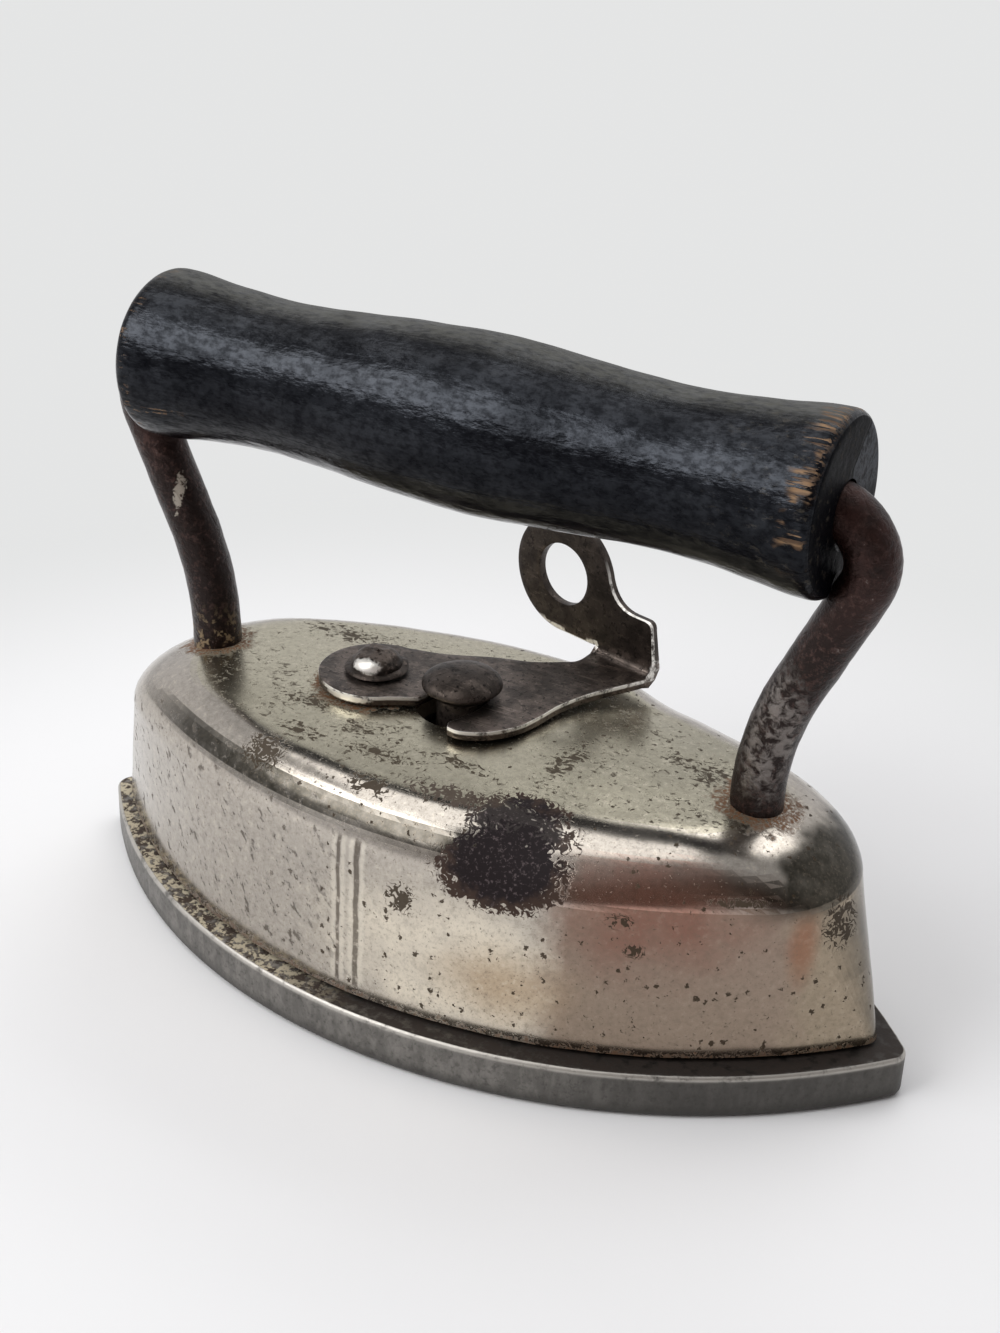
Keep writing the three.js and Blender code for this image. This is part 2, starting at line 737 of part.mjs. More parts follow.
addMesh(latch, "latch_lever", makeLever(), materials.darkSteel);

export default iron;
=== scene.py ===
import math

import bmesh
import bpy
from bpy.props import FloatProperty, FloatVectorProperty, IntProperty, PointerProperty
from mathutils import Matrix, Vector, geometry, noise
from mathutils.bvhtree import BVHTree


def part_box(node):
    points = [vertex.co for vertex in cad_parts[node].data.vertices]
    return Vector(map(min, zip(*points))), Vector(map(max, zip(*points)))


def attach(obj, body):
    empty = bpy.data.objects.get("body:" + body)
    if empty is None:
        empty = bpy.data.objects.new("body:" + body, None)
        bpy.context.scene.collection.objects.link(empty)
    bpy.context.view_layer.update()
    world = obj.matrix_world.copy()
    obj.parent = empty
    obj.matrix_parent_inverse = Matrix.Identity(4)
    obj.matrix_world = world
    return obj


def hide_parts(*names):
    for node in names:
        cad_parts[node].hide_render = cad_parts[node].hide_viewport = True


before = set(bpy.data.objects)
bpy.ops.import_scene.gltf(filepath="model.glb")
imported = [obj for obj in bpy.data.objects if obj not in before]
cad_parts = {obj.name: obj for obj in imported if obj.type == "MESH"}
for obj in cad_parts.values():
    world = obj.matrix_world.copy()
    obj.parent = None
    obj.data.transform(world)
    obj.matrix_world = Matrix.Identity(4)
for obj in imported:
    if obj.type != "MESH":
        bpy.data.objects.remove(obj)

bl_info = {
    "name": "Sad Iron",
    "version": (1, 0, 0),
    "blender": (4, 5, 0),
    "location": "3D View > Sidebar > Sad Iron",
    "description": "Dresses a small sad iron with a lift-off nickel hood, a wooden grip and a swinging latch",
    "category": "Object",
}

MM = 0.001
QUARTER = math.pi / 2
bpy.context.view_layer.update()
HOOD_LOW, HOOD_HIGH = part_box("hood_shell")
CORE_LOW, CORE_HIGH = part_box("core")
PLATE_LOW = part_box("retaining_plate")[0]
GRIP_LOW, GRIP_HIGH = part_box("grip_upper_half")
STUD_LOW, STUD_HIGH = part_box("latch_stud")
RIVET_LOW, RIVET_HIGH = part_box("pivot_rivet")


def length(name, description, default):
    return FloatProperty(
        name=name,
        description=description,
        default=default,
        min=0.0,
        unit="LENGTH",
        subtype="DISTANCE",
        precision=5,
    )


def share(name, description, default):
    return FloatProperty(
        name=name, description=description, default=default, min=0.0, max=1.0, subtype="FACTOR"
    )


def color(name, description, default):
    return FloatVectorProperty(
        name=name, description=description, default=default, size=3, min=0.0, max=1.0, subtype="COLOR"
    )


class CoreSettings(bpy.types.PropertyGroup):
    flange_height: length("Flange height", "Height of the sole's flange", 5.2 * MM)
    sole_edge: length("Sole edge", "Rounding of the sole's lower edge", 0.9 * MM)
    ledge_edge: length("Ledge edge", "Rounding of the flange's upper edge", 0.5 * MM)
    tip_radius: length("Tip radius", "Rounding of the sole's two points", 2.0 * MM)
    iron: color("Iron", "Ground cast iron, darkened by age", (0.155, 0.147, 0.136))
    # Also the painted highlight along the flange's ridge
    worn_iron_and_highlight: color("Worn iron", "Bright iron where it rubs", (0.62, 0.59, 0.54))
    dirt: color("Dirt", "Rusty dirt in the corner of the ledge", (0.045, 0.029, 0.020))


class HoodSettings(bpy.types.PropertyGroup):
    sheet: length("Sheet", "Thickness of the hood's sheet", 0.8 * MM)
    crown: length("Crown", "Rise of the top to its middle", 0.75 * MM)
    shoulder_height: length("Shoulder height", "Height of the rolled shoulder", 7.0 * MM)
    shoulder_width: length("Shoulder width", "Width of the rolled shoulder at the sides", 6.0 * MM)
    tip_shoulder: length("Tip shoulder", "Length of the rolled shoulder at the tips", 12.2 * MM)
    tip_ease: share("Tip ease", "Below 1 the shoulder falls away sooner at the tips", 0.85)
    soft_flank: length("Soft flank", "Extra width of the shoulder on the front flanks", 2.8 * MM)
    dent: length("Dents", "Depth of the shallow dents", 0.09 * MM)
    nickel: color("Nickel", "Worn nickel plate in the middle of the walls", (0.84, 0.76, 0.625))
    nickel_rear: color("Rear nickel", "Duller plate on the rear half of the walls", (0.46, 0.42, 0.37))
    # Painted reflection: the brown-mauve on the front third of the walls
    nickel_front_reflection: color("Front nickel", "Brown tarnish on the front third of the walls", (0.27, 0.20, 0.155))
    nickel_tip: color("Tip nickel", "Greenish plate round the front tip", (0.33, 0.27, 0.195))
    nickel_top: color("Top nickel", "Greenish tarnish on the top", (0.50, 0.465, 0.36))
    pit: color("Pits", "Brown pits through the plate", (0.046, 0.031, 0.017))
    rust: color("Rust", "Rust round the feet and the pivot", (0.17, 0.085, 0.042))
    burn: color("Burn", "Dark patch on the near shoulder", (0.012, 0.0075, 0.0085))
    # Painted reflection: pink on the near wall
    rosy_reflection: color("Blush", "Pink heat tint on the near wall", (0.235, 0.118, 0.088))
    amber: color("Amber", "Straw heat tint on the near wall", (0.44, 0.315, 0.195))
    # Painted dark reflection under the shoulder and round the front tip
    painted_dark_reflection: color("Smoke", "Dark tarnish under the shoulder at the front", (0.043, 0.039, 0.031))


class HandleSettings(bpy.types.PropertyGroup):
    rod_radius: length("Rod radius", "Radius of the bent rod", 2.7 * MM)
    foot: length("Foot", "Half the distance between the rod's feet", 33.2 * MM)
    elbow: length("Elbow", "Half the distance between the rod's upper corners", 45.0 * MM)
    knee_height: length("Knee height", "Height where the legs lean out", 36.2 * MM)
    knee_bend: length("Knee bend", "Bend radius at the knee", 32.0 * MM)
    elbow_bend: length("Elbow bend", "Bend radius at the elbow", 5.3 * MM)
    axis_height: length("Axis height", "Height of the grip's axis", 61.7 * MM)
    grip_radius: length("Grip radius", "Radius in the middle of the grip", 9.05 * MM)
    end_radius: length("End rounding", "Rounding of the grip's ends", 1.1 * MM)
    rod_sides: IntProperty(name="Rod sides", description="Facets round the rod", default=40, min=8, max=128)
    steel: color("Rusted steel", "Red-brown rust on the rod", (0.034, 0.019, 0.016))
    # Also painted highlights on the rod's front leg
    bright_steel_and_highlight: color("Bright steel", "Specks of bare steel", (0.30, 0.27, 0.25))
    paint: color("Paint", "Black paint on the grip", (0.002, 0.002, 0.003))
    bare_wood: color("Bare wood", "Wood where the paint is gone", (0.30, 0.185, 0.10))


class LatchSettings(bpy.types.PropertyGroup):
    sheet: length("Sheet", "Thickness of the lever", 1.0 * MM)
    pivot_to_stud: length("Pivot to stud", "Distance between pivot and stud", 10.8 * MM)
    fold_reach: length("Fold reach", "From the pivot to the tab's free edge", 21.4 * MM)
    tab_reach: length("Tab reach", "From the pivot to the tab's near face", 21.0 * MM)
    fold_width: length("Fold width", "Width of the lever at the fold", 8.4 * MM)
    bend: length("Bend", "Inner radius of the fold", 0.8 * MM)
    edge: length("Edge", "Width of the worn edge", 0.14 * MM)
    steel: color("Dark steel", "Oxidised steel of lever, stud and rivet", (0.060, 0.048, 0.041))
    # Also painted highlights on the lever's edges and on the rivet
    bright_steel_and_highlight: color("Bright steel", "Steel where edges rub", (0.95, 0.92, 0.86))


class StageSettings(bpy.types.PropertyGroup):
    floor: color("Floor", "Pale floor", (0.82, 0.82, 0.825))
    backdrop: color("Backdrop", "Pale ground further out and behind", (0.78, 0.785, 0.785))
    lamp: FloatProperty(
        name="Lamp", description="Power that the three soft lamps share", default=1.3, min=0.0, unit="POWER"
    )
    sky: FloatProperty(name="Sky", description="Strength of the surrounding light", default=1.2, min=0.0)


# Shapes

HANDLE_X = (GRIP_LOW.x + GRIP_HIGH.x) / 2
HOOD_X = (HOOD_LOW.x + HOOD_HIGH.x) / 2
STUD_X = (STUD_LOW.x + STUD_HIGH.x) / 2
PIVOT_X = (RIVET_LOW.x + RIVET_HIGH.x) / 2
LEVER_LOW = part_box("latch_lever")[0].z
WASHER_LOW = PLATE_LOW.z - 0.8 * MM
ROD_LOW = HOOD_HIGH.z - 1.9 * MM
WALL_DRAFT = math.tan(math.radians(1.5))
TIP_DRAFT = math.tan(math.radians(14.2))
RIM_ROUNDNESS, TOP_ROUNDNESS = 0.09, 0.72
FOLD_ANGLE = math.radians(-14.5)
SEAM_TILT = math.radians(24)


def arc_points(x, y, radius, start, end, steps):
    """Points of an arc, without its last one."""
    turns = (start + (end - start) * i / steps for i in range(steps))
    return [(x + radius * math.cos(t), y + radius * math.sin(t)) for t in turns]


def lens_outline(half_length, half_width, tip_radius, inset=0.0, side_steps=72, tip_steps=16):
    """Double-pointed oval with rounded points, drawn in by the inset."""
    tip_center = half_length - tip_radius
    side_radius = (tip_center**2 + half_width**2 - tip_radius**2) / (2 * (half_width - tip_radius))
    drop = side_radius - half_width
    side, tip = side_radius - inset, max(tip_radius - inset, 0.3 * MM)
    tip_x = math.sqrt((side - tip) ** 2 - drop**2)
    swing = math.atan2(tip_x, drop)
    return (
        arc_points(tip_x, 0, tip, swing - QUARTER, QUARTER - swing, tip_steps)
        + arc_points(0, -drop, side, QUARTER - swing, QUARTER + swing, side_steps)
        + arc_points(-tip_x, 0, tip, QUARTER + swing, 3 * QUARTER - swing, tip_steps)
        + arc_points(0, drop, side, 3 * QUARTER - swing, 3 * QUARTER + swing, side_steps)
    )


def mesh_object(name, verts, faces):
    mesh = bpy.data.meshes.new(name)
    mesh.from_pydata(verts, [], faces)
    obj = bpy.data.objects.new(name, mesh)
    bpy.context.scene.collection.objects.link(obj)
    clean_mesh(obj)
    return obj


def points_and_faces(mesh):
    return [v.co for v in mesh.vertices], [f.vertices for f in mesh.polygons]


def clean_mesh(obj):
    bm = bmesh.new()
    bm.from_mesh(obj.data)
    bmesh.ops.remove_doubles(bm, verts=bm.verts, dist=1e-6)
    bmesh.ops.recalc_face_normals(bm, faces=bm.faces)
    bm.to_mesh(obj.data)
    bm.free()


def skin_rings(name, rings):
    """Closed solid through rings of equal point counts, with a cap on each end."""
    count = len(rings[0])
    verts = [p for ring in rings for p in ring]
    faces = []
    for r in range(len(rings) - 1):
        for i in range(count):
            j = (i + 1) % count
            faces.append((r * count + i, r * count + j, (r + 1) * count + j, (r + 1) * count + i))
    for start in (0, (len(rings) - 1) * count):
        ring = verts[start : start + count]
        verts.append(sum((Vector(p) for p in ring), Vector()) / count)
        middle = len(verts) - 1
        faces += [(start + i, start + (i + 1) % count, middle) for i in range(count)]
    return mesh_object(name, verts, faces)


def revolve(name, profile, steps, center=(0, 0, 0)):
    """Turned solid from (radius, height) points that start and end on the axis."""
    rings = []
    for radius, height in profile[1:-1]:
        turns = (2 * math.pi * i / steps for i in range(steps))
        rings.append([(radius * math.cos(t), radius * math.sin(t), height) for t in turns])
    obj = skin_rings(name, rings)
    for end, vert in zip((profile[0], profile[-1]), obj.data.vertices[-2:]):
        vert.co.z = end[1]
    obj.data.transform(Matrix.Translation(Vector(center)))
    return obj


def join(name, objects):
    bpy.ops.object.select_all(action="DESELECT")
    for obj in objects:
        obj.select_set(True)
    bpy.context.view_layer.objects.active = objects[0]
    bpy.ops.object.join()
    objects[0].name = objects[0].data.name = name
    return objects[0]


def settle(obj):
    """Replaces an object's modifiers by their result."""
    bpy.context.view_layer.update()
    result = bpy.data.meshes.new_from_object(obj.evaluated_get(bpy.context.evaluated_depsgraph_get()))
    obj.modifiers.clear()
    obj.data = result
    obj.data.name = obj.name
    return obj


def cut(obj, cutters):
    for cutter in cutters:
        modifier = obj.modifiers.new("Cut", "BOOLEAN")
        modifier.operation = "DIFFERENCE"
        modifier.solver = "EXACT"
        modifier.object = cutter
    settle(obj)
    for cutter in cutters:
        bpy.data.objects.remove(cutter)
    return obj


def pin(x, radius, low, high, steps=48):
    return revolve("pin", [(0, low), (radius, low), (radius, high), (0, high)], steps, (x, 0, 0))


def displace(obj, amount, size, seed, push):
    """Moves the points by smooth noise along the direction that push gives for each."""
    offset = Vector((seed * 17.3, seed * 5.1, seed * 9.7))
    for vert in obj.data.vertices:
        wave = noise.noise(vert.co / size + offset) + 0.5 * noise.noise(vert.co / size * 2.3 + offset)
        vert.co += push(vert) * (amount * wave)


def outward(vert):
    spine = Vector((max(-0.02, min(0.02, vert.co.x)), 0, 0.016))
    return (vert.co - spine).normalized()


def finish_piece(obj, body, *nodes, material=None, slot=None, sharp=35):
    obj.data.set_sharp_from_angle(angle=math.radians(sharp))
    mark_wear(obj)
    if material:
        obj.data.materials.clear()
        obj.data.materials.append(material)
    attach(obj, body)
    if nodes:
        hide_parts(*nodes)
    return obj


def mark_wear(obj):
    """Stores how much each point stands out from its neighbours, for the wear and the painted highlights on
    edges.
    """
    bm = bmesh.new()
    bm.from_mesh(obj.data)
    bm.normal_update()
    layer = bm.verts.layers.float.new("wear_and_highlight")
    for vert in bm.verts:
        edges = vert.link_edges
        lean = sum(max(0.0, vert.normal.dot((vert.co - e.other_vert(vert).co).normalized())) for e in edges)
        vert[layer] = min(1.0, 3.0 * lean / max(len(edges), 1))
    bm.to_mesh(obj.data)
    bm.free()


# Materials


def times(amount, tone):
    return tuple(amount * c for c in tone)


class Recipe:
    """Builds a node material, with sums and patterns in a few words."""

    def __init__(self, name):
        self.material = bpy.data.materials.new(name)
        self.material.use_nodes = True
        self.tree = self.material.node_tree
        self.shader = self.tree.nodes["Principled BSDF"]
        place = self.node("ShaderNodeTexCoord").outputs["Object"]
        self.mm = self.vector("SCALE", place, scale=1000.0)
        split = self.node("ShaderNodeSeparateXYZ", Vector=self.mm)
        self.x, self.y, self.z = split.outputs

    def node(self, kind, **values):
        node = self.tree.nodes.new(kind)
        for key, value in values.items():
            self.feed(node.inputs[key.replace("_", " ")], value)
        return node

    def feed(self, socket, value):
        if isinstance(value, bpy.types.NodeSocket):
            self.tree.links.new(value, socket)
        elif socket.type == "RGBA":
            socket.default_value = (*value, 1.0)
        else:
            socket.default_value = value

    def math(self, operation, *values):
        node = self.tree.nodes.new("ShaderNodeMath")
        node.operation = operation
        for socket, value in zip(node.inputs, values):
            self.feed(socket, value)
        return node.outputs[0]

    def vector(self, operation, *values, scale=None):
        node = self.tree.nodes.new("ShaderNodeVectorMath")
        node.operation = operation
        for socket, value in zip(node.inputs, values):
            self.feed(socket, value)
        if scale is not None:
            self.feed(node.inputs["Scale"], scale)
        return node.outputs["Value" if operation in {"LENGTH", "DOT_PRODUCT"} else "Vector"]

    def moved(self, stretch, seed):
        """The place in millimetres, stretched and shifted to another part of a pattern."""
        where = self.vector("MULTIPLY", self.mm, stretch) if stretch else self.mm
        return self.vector("ADD", where, (seed, seed * 0.7, seed * 1.3)) if seed else where

    def noise(self, scale, detail=4.0, rough=0.55, stretch=None, seed=0.0, distortion=0.0):
        where = self.moved(stretch, seed)
        values = {"Scale": scale, "Detail": detail, "Roughness": rough, "Distortion": distortion}
        return self.node("ShaderNodeTexNoise", Vector=where, **values).outputs["Fac"]

    def voronoi(self, scale, stretch=None, seed=0.0):
        made = self.node("ShaderNodeTexVoronoi", Vector=self.moved(stretch, seed), Scale=scale)
        return made.outputs["Distance"], made.outputs["Color"]

    def step(self, value, low, high):
        """0 below low and 1 above high, smooth between."""
        node = self.tree.nodes.new("ShaderNodeMapRange")
        node.interpolation_type = "SMOOTHSTEP"
        for socket, entry in zip(node.inputs, (value, low, high, 0.0, 1.0)):
            self.feed(socket, entry)
        return node.outputs[0]

    def spread(self, value, low, high):
        """Maps 0 to low and 1 to high."""
        return self.plus(self.math("MULTIPLY", value, high - low), low)

    def plus(self, first, second):
        return self.math("ADD", first, second)

    def minus(self, first, second):
        return self.math("SUBTRACT", first, second)

    def size(self, value):
        return self.math("ABSOLUTE", value)

    def sway(self, pattern, amount, middle=0.5):
        """A pattern's swing about its middle, times an amount."""
        return self.both(self.minus(pattern, middle), amount)

    def both(self, *values):
        made = values[0]
        for value in values[1:]:
            made = self.math("MULTIPLY", made, value)
        return made

    def either(self, *values):
        made = values[0]
        for value in values[1:]:
            made = self.math("MAXIMUM", made, value)
        return made

    def mix(self, share, first, second):
        node = self.tree.nodes.new("ShaderNodeMix")
        node.data_type = "RGBA"
        self.feed(node.inputs["Factor"], share)
        self.feed(node.inputs[6], first)
        self.feed(node.inputs[7], second)
        return node.outputs[2]

    def blend(self, share, first, second):
        node = self.tree.nodes.new("ShaderNodeMix")
        self.feed(node.inputs["Factor"], share)
        self.feed(node.inputs[2], first)
        self.feed(node.inputs[3], second)
        return node.outputs[0]

    def near(self, center, radii, ragged=None, amount=0.0):
        """Distance from a place in millimetres, 1 at an ellipsoid's radii, with an edge that noise frays."""
        offset = self.vector("SUBTRACT", self.mm, center)
        reach = self.vector("LENGTH", self.vector("DIVIDE", offset, radii))
        return reach if ragged is None else self.plus(reach, self.sway(ragged, amount))

    def tilted(self, angle):
        """The place in millimetres, turned about the Y axis."""
        node = self.node("ShaderNodeVectorRotate", Vector=self.mm, Angle=angle)
        node.rotation_type = "Y_AXIS"
        return node.outputs[0]

    def attribute(self, name):
        node = self.tree.nodes.new("ShaderNodeAttribute")
        node.attribute_name = name
        return node.outputs["Fac"]

    def bump(self, height, distance, strength):
        node = self.node("ShaderNodeBump", Height=height, Distance=distance, Strength=strength)
        return node.outputs["Normal"]

    def facing(self):
        """The true normal and its three parts."""
        normal = self.node("ShaderNodeNewGeometry").outputs["True Normal"]
        return normal, *self.node("ShaderNodeSeparateXYZ", Vector=normal).outputs

    def surface(self, **values):
        for key, value in values.items():
            self.feed(self.shader.inputs[key.replace("_", " ")], value)
        return self.material


def nickel_material(settings, foot):
    r = Recipe("worn_nickel")
    cloud = r.noise(0.12, 3.0, seed=3.0)
    soft = r.noise(0.28, 2.0, seed=5.5)
    grain = r.noise(2.6, 5.0, 0.7, seed=1.0)
    blotch = r.noise(0.3, 4.0, 0.6, seed=21.0)
    worm = r.size(r.minus(r.noise(0.95, 2.0, 0.6, seed=12.0, distortion=1.0), 0.5))
    dotty = r.noise(2.3, 1.6, 0.6, seed=12.0, distortion=1.3)
    wobble = r.noise(0.75, 4.0, 0.6, seed=17.0)
    up = r.facing()[3]
    on_top = r.step(up, 0.955, 0.997)
    near_side = r.step(r.y, 1.0, -1.0)
    place = r.plus(r.x, r.math("MULTIPLY", r.minus(soft, 0.5), 5.0))

    def zone(center, radii, inner=0.3, outer=1.2, wander=0.5):
        return r.step(r.near(center, radii, soft, wander), outer, inner)

    # Tone of the plate along the walls and on the top; the brown and pink of the front third, the orange
    # stripe and the dark bands under the shoulder are painted reflections
    clear = zone((9.5, -20.0, 12.5), (15.0, 30.0, 8.5), 0.3, 1.4)
    tone = r.mix(clear, settings.nickel_rear, settings.nickel)
    tone = r.mix(r.both(r.step(cloud, 0.42, 0.7), 0.35), tone, settings.nickel_rear)
    ragged_place = r.plus(place, r.sway(wobble, 2.4))
    front = r.step(r.minus(ragged_place, r.both(r.z, 0.05)), 15.4, 20.6)
    front = r.both(front, r.step(r.y, 3.0, -6.0))
    # Painted reflection: brown-mauve on the lower front third of the walls
    tone = r.mix(r.both(front, r.step(up, 0.30, 0.16), 0.92), tone, settings.nickel_front_reflection)
    front = r.both(front, r.step(up, 0.85, 0.70))
    paler = r.both(front, r.step(r.z, 19.0, 8.0), 0.25)
    tone = r.mix(paler, tone, settings.nickel_tip)
    tip = r.step(place, 38.5, 42.5)
    tone = r.mix(r.both(tip, 0.85), tone, settings.nickel_tip)
    # Painted reflection: pink on the near wall, lighter where it turns up into the shoulder
    rosy_reflection_zone = r.both(zone((27.5, -14.5, 22.0), (13.5, 9.0, 7.5), 0.0, 1.35, 0.9), front)
    rosy_reflection = r.mix(r.step(up, 0.16, 0.32), settings.rosy_reflection, times(2.2, settings.rosy_reflection))
    tone = r.mix(r.both(rosy_reflection_zone, 0.9), tone, rosy_reflection)
    tone = r.mix(r.both(zone((14.5, -20.0, 12.0), (8.0, 6.0, 5.0), 0.1, 1.3), 0.75), tone, settings.amber)
    # Painted reflection: an orange stripe near the front tip
    orange_reflection_stripe = r.both(zone((40.6, -6.9, 18.8), (1.7, 3.2, 6.0), 0.2, 1.1, 0.3), 0.7)
    tone = r.mix(r.both(orange_reflection_stripe, 1.1), tone, (0.27, 0.130, 0.078))
    top = r.mix(r.step(place, 6.0, 26.0), settings.nickel_top, times(0.72, settings.nickel_top))
    tone = r.mix(on_top, tone, top)
    mottled = r.noise(1.25, 5.0, 0.72, seed=8.0)
    tone = r.mix(r.both(r.step(mottled, 0.50, 0.62), 0.20), tone, (0.12, 0.10, 0.075))
    tone = r.mix(r.both(r.step(mottled, 0.46, 0.34), r.spread(front, 0.25, 0.06)), tone, settings.nickel)
    # Painted dark reflection: dark bands under the shoulder along the near side, at the front tip and at the
    # rear
    painted_dark_reflection = r.both(zone((38.5, -6.0, 23.6), (8.5, 6.0, 2.8), 0.0, 1.3, 0.8), r.step(r.z, 20.0, 23.0), 0.9)
    painted_dark_reflection = r.either(painted_dark_reflection, r.both(zone((44.6, 1.0, 20.0), (2.4, 3.4, 8.5), 0.3, 1.25), 0.75))
    dark_reflection_under_shoulder = r.both(r.step(up, 0.36, 0.50), r.step(up, 0.78, 0.66), near_side)
    dark_reflection_under_shoulder = r.both(dark_reflection_under_shoulder, r.step(r.x, -40.0, -26.0))
    dark_reflection_under_shoulder = r.both(dark_reflection_under_shoulder, r.either(r.step(r.x, 28.0, 40.0), r.step(r.x, 18.0, 10.0)))
    dark_reflection_under_shoulder = r.both(dark_reflection_under_shoulder, r.spread(r.step(cloud, 0.3, 0.7), 0.88, 0.97))
    tip_shoulder = r.both(r.step(place, 36.3, 38.8), r.step(up, 0.06, 0.42), r.step(up, 0.99, 0.95), 0.97)
    painted_dark_reflection = r.either(painted_dark_reflection, dark_reflection_under_shoulder, tip_shoulder)
    painted_dark_reflection = r.either(painted_dark_reflection, r.both(zone((-16.0, -17.6, 25.6), (9.5, 4.0, 0.9), 0.2, 1.3), 0.6))
    tone = r.mix(r.both(painted_dark_reflection, r.spread(wobble, 0.78, 1.2)), tone, settings.painted_dark_reflection)

    # Round pits all over, slanted flecks on the rear of the wall, drawn-out rust flecks on the top
    dots, dot_tone = r.voronoi(1.15, stretch=(1.0, 1.0, 0.8), seed=5.0)
    size = r.node("ShaderNodeSeparateColor", Color=dot_tone).outputs[0]
    ragged = r.plus(dots, r.sway(dotty, 1.1))
    dot = r.math("LESS_THAN", ragged, r.sway(size, 0.85, 0.66))
    dot = r.both(dot, r.step(r.x, -26.0, -4.0))
    slanted = r.vector("MULTIPLY", r.tilted(math.radians(38)), (1.0, 1.0, 0.5))
    fleck = r.node("ShaderNodeTexNoise", Vector=slanted, Scale=1.15, Detail=5.0, Roughness=0.68)
    fleck = r.plus(fleck.outputs["Fac"], r.both(blotch, 0.16))
    haze = r.both(r.step(fleck, 0.58, 0.72), r.step(place, 6.0, -10.0), r.step(up, 0.8, 0.5))
    tone = r.mix(r.both(haze, 0.40), tone, (0.27, 0.25, 0.23))
    fleck = r.both(r.step(fleck, 0.675, 0.71), r.step(place, 2.0, -12.0), r.step(up, 0.8, 0.5))
    speckle = r.noise(3.0, 4.0, 0.7, seed=33.0)
    tone = r.mix(r.both(r.step(speckle, 0.50, 0.66), 0.28), tone, (0.20, 0.165, 0.125))
    fine_dust = r.both(r.step(speckle, 0.64, 0.69), 0.5)
    flat_spot = r.noise(1.5, 5.0, 0.66, stretch=(0.7, 1.0, 1.0), seed=40.0, distortion=0.8)
    gather = r.sway(r.noise(0.11, 2.0, seed=44.0), 0.26)
    top_spots = r.both(on_top, r.step(r.plus(flat_spot, gather), 0.60, 0.64), 0.85)
    placed = []
    for center, radii in (
        ((-5.2, -12.5, 29.0), (3.6, 0.9, 2.0)),
        ((-14.4, -12.7, 28.8), (2.2, 1.0, 2.0)),
        ((-17.0, -7.2, 29.1), (2.6, 1.2, 2.0)),
        ((2.9, -10.1, 29.2), (3.0, 0.8, 2.0)),
        ((12.4, -4.0, 29.3), (1.1, 3.6, 2.0)),
        ((22.0, 2.9, 29.1), (1.5, 0.8, 2.0)),
        ((26.0, 2.0, 28.9), (2.2, 1.6, 2.0)),
        ((-22.0, 8.9, 28.9), (4.4, 1.5, 2.0)),
        ((-9.6, -9.6, 29.1), (1.6, 1.1, 2.0)),
    ):
        reach = r.plus(r.near(center, radii), r.sway(flat_spot, 9.0, 0.48))
        placed.append(r.step(reach, 0.95, 0.6))
    for center, radii in (
        ((3.5, -21.4, 19.2), (1.5, 2.0, 1.6)),
        ((-16.2, -16.4, 27.5), (2.6, 2.2, 1.6)),
        ((-2.9, -17.3, 28.2), (2.4, 1.4, 0.9)),
        ((42.9, -2.9, 20.2), (1.7, 2.4, 2.4)),
        ((25.2, -16.3, 21.4), (1.1, 1.5, 0.8)),
        ((26.7, -15.6, 18.1), (0.9, 1.5, 0.7)),
        ((35.0, -10.9, 24.0), (2.6, 2.4, 0.42)),
    ):
        reach = r.plus(r.near(center, radii), r.sway(worm, 9.0, 0.05))
        placed.append(r.step(reach, 0.95, 0.8))
    pits = r.either(dot, r.both(fleck, 0.75), fine_dust, top_spots, *placed)

    # The burnt patch on the near shoulder: solid in the middle, worm-eaten at the edge
    burnt = []
    for center, radii, broken, strength in (
        ((13.3, -18.3, 24.3), (6.5, 8.0, 4.1), 1.6, 1.0),
        ((13.2, -15.2, 27.6), (5.8, 3.6, 2.4), 4.0, 0.95),
        ((13.2, -15.2, 27.4), (5.2, 3.6, 2.2), 0.8, 0.45),
        ((14.0, -12.4, 28.8), (3.5, 1.3, 1.5), 5.0, 1.0),
        ((5.4, -15.3, 28.6), (4.2, 1.3, 1.2), 8.0, 0.9),
    ):
        reach = r.plus(r.near(center, radii, wobble, 0.7), r.sway(worm, broken, 0.06))
        burnt.append(r.both(r.step(reach, 1.0, 0.92), strength))
    burnt = r.either(*burnt)
    core_of_patch = r.step(r.near((13.2, -17.0, 25.6), (5.8, 8.0, 4.6), wobble, 0.8), 1.1, 0.8)

    # Rust round the rod's feet and along the near edge of the lever's eye
    rings = []
    for x, inner, width in (
        (HANDLE_X + foot, 2.7, 2.6),
        (HANDLE_X - foot, 2.7, 2.2),
        (PIVOT_X, 6.2, 1.0),
    ):
        reach = r.near((x / MM, 0.0, 28.8), (1.0, 1.0, 3.0), wobble, 6.0)
        rings.append(r.step(reach, inner + width, inner + 0.35 * width))
    rim = r.plus(r.z, r.both(r.plus(wobble, r.both(dotty, 0.8)), 3.0))
    rim = r.step(rim, 8.95, 8.5)
    rusty = r.both(r.either(*rings, r.both(rim, 0.8)), r.step(grain, 0.34, 0.56))

    # Two scored lines down the near wall, with pale borders painted as highlights
    across = r.plus(r.x, r.sway(r.noise(0.35, 2.0, seed=50.0), 0.5))
    reach = r.both(r.step(r.z, 6.4, 7.0), r.step(r.z, 24.4, 23.6), near_side)
    scored, border = 0.0, 0.0
    for x, half in ((-3.9, 0.13), (-1.65, 0.24)):
        gap = r.size(r.minus(across, x))
        scored = r.either(scored, r.step(gap, half + 0.14, half))
        beside = r.both(r.step(gap, half + 0.9, half + 0.5), r.step(gap, half + 0.1, half + 0.3))
        border = r.either(border, beside)
    scored = r.both(scored, reach, r.step(r.noise(1.1, 4.0, 0.7, seed=60.0), 0.30, 0.5))
    # Painted highlights on the scored lines' pale borders
    tone = r.mix(r.both(border, reach, 0.35), tone, (0.86, 0.80, 0.68))

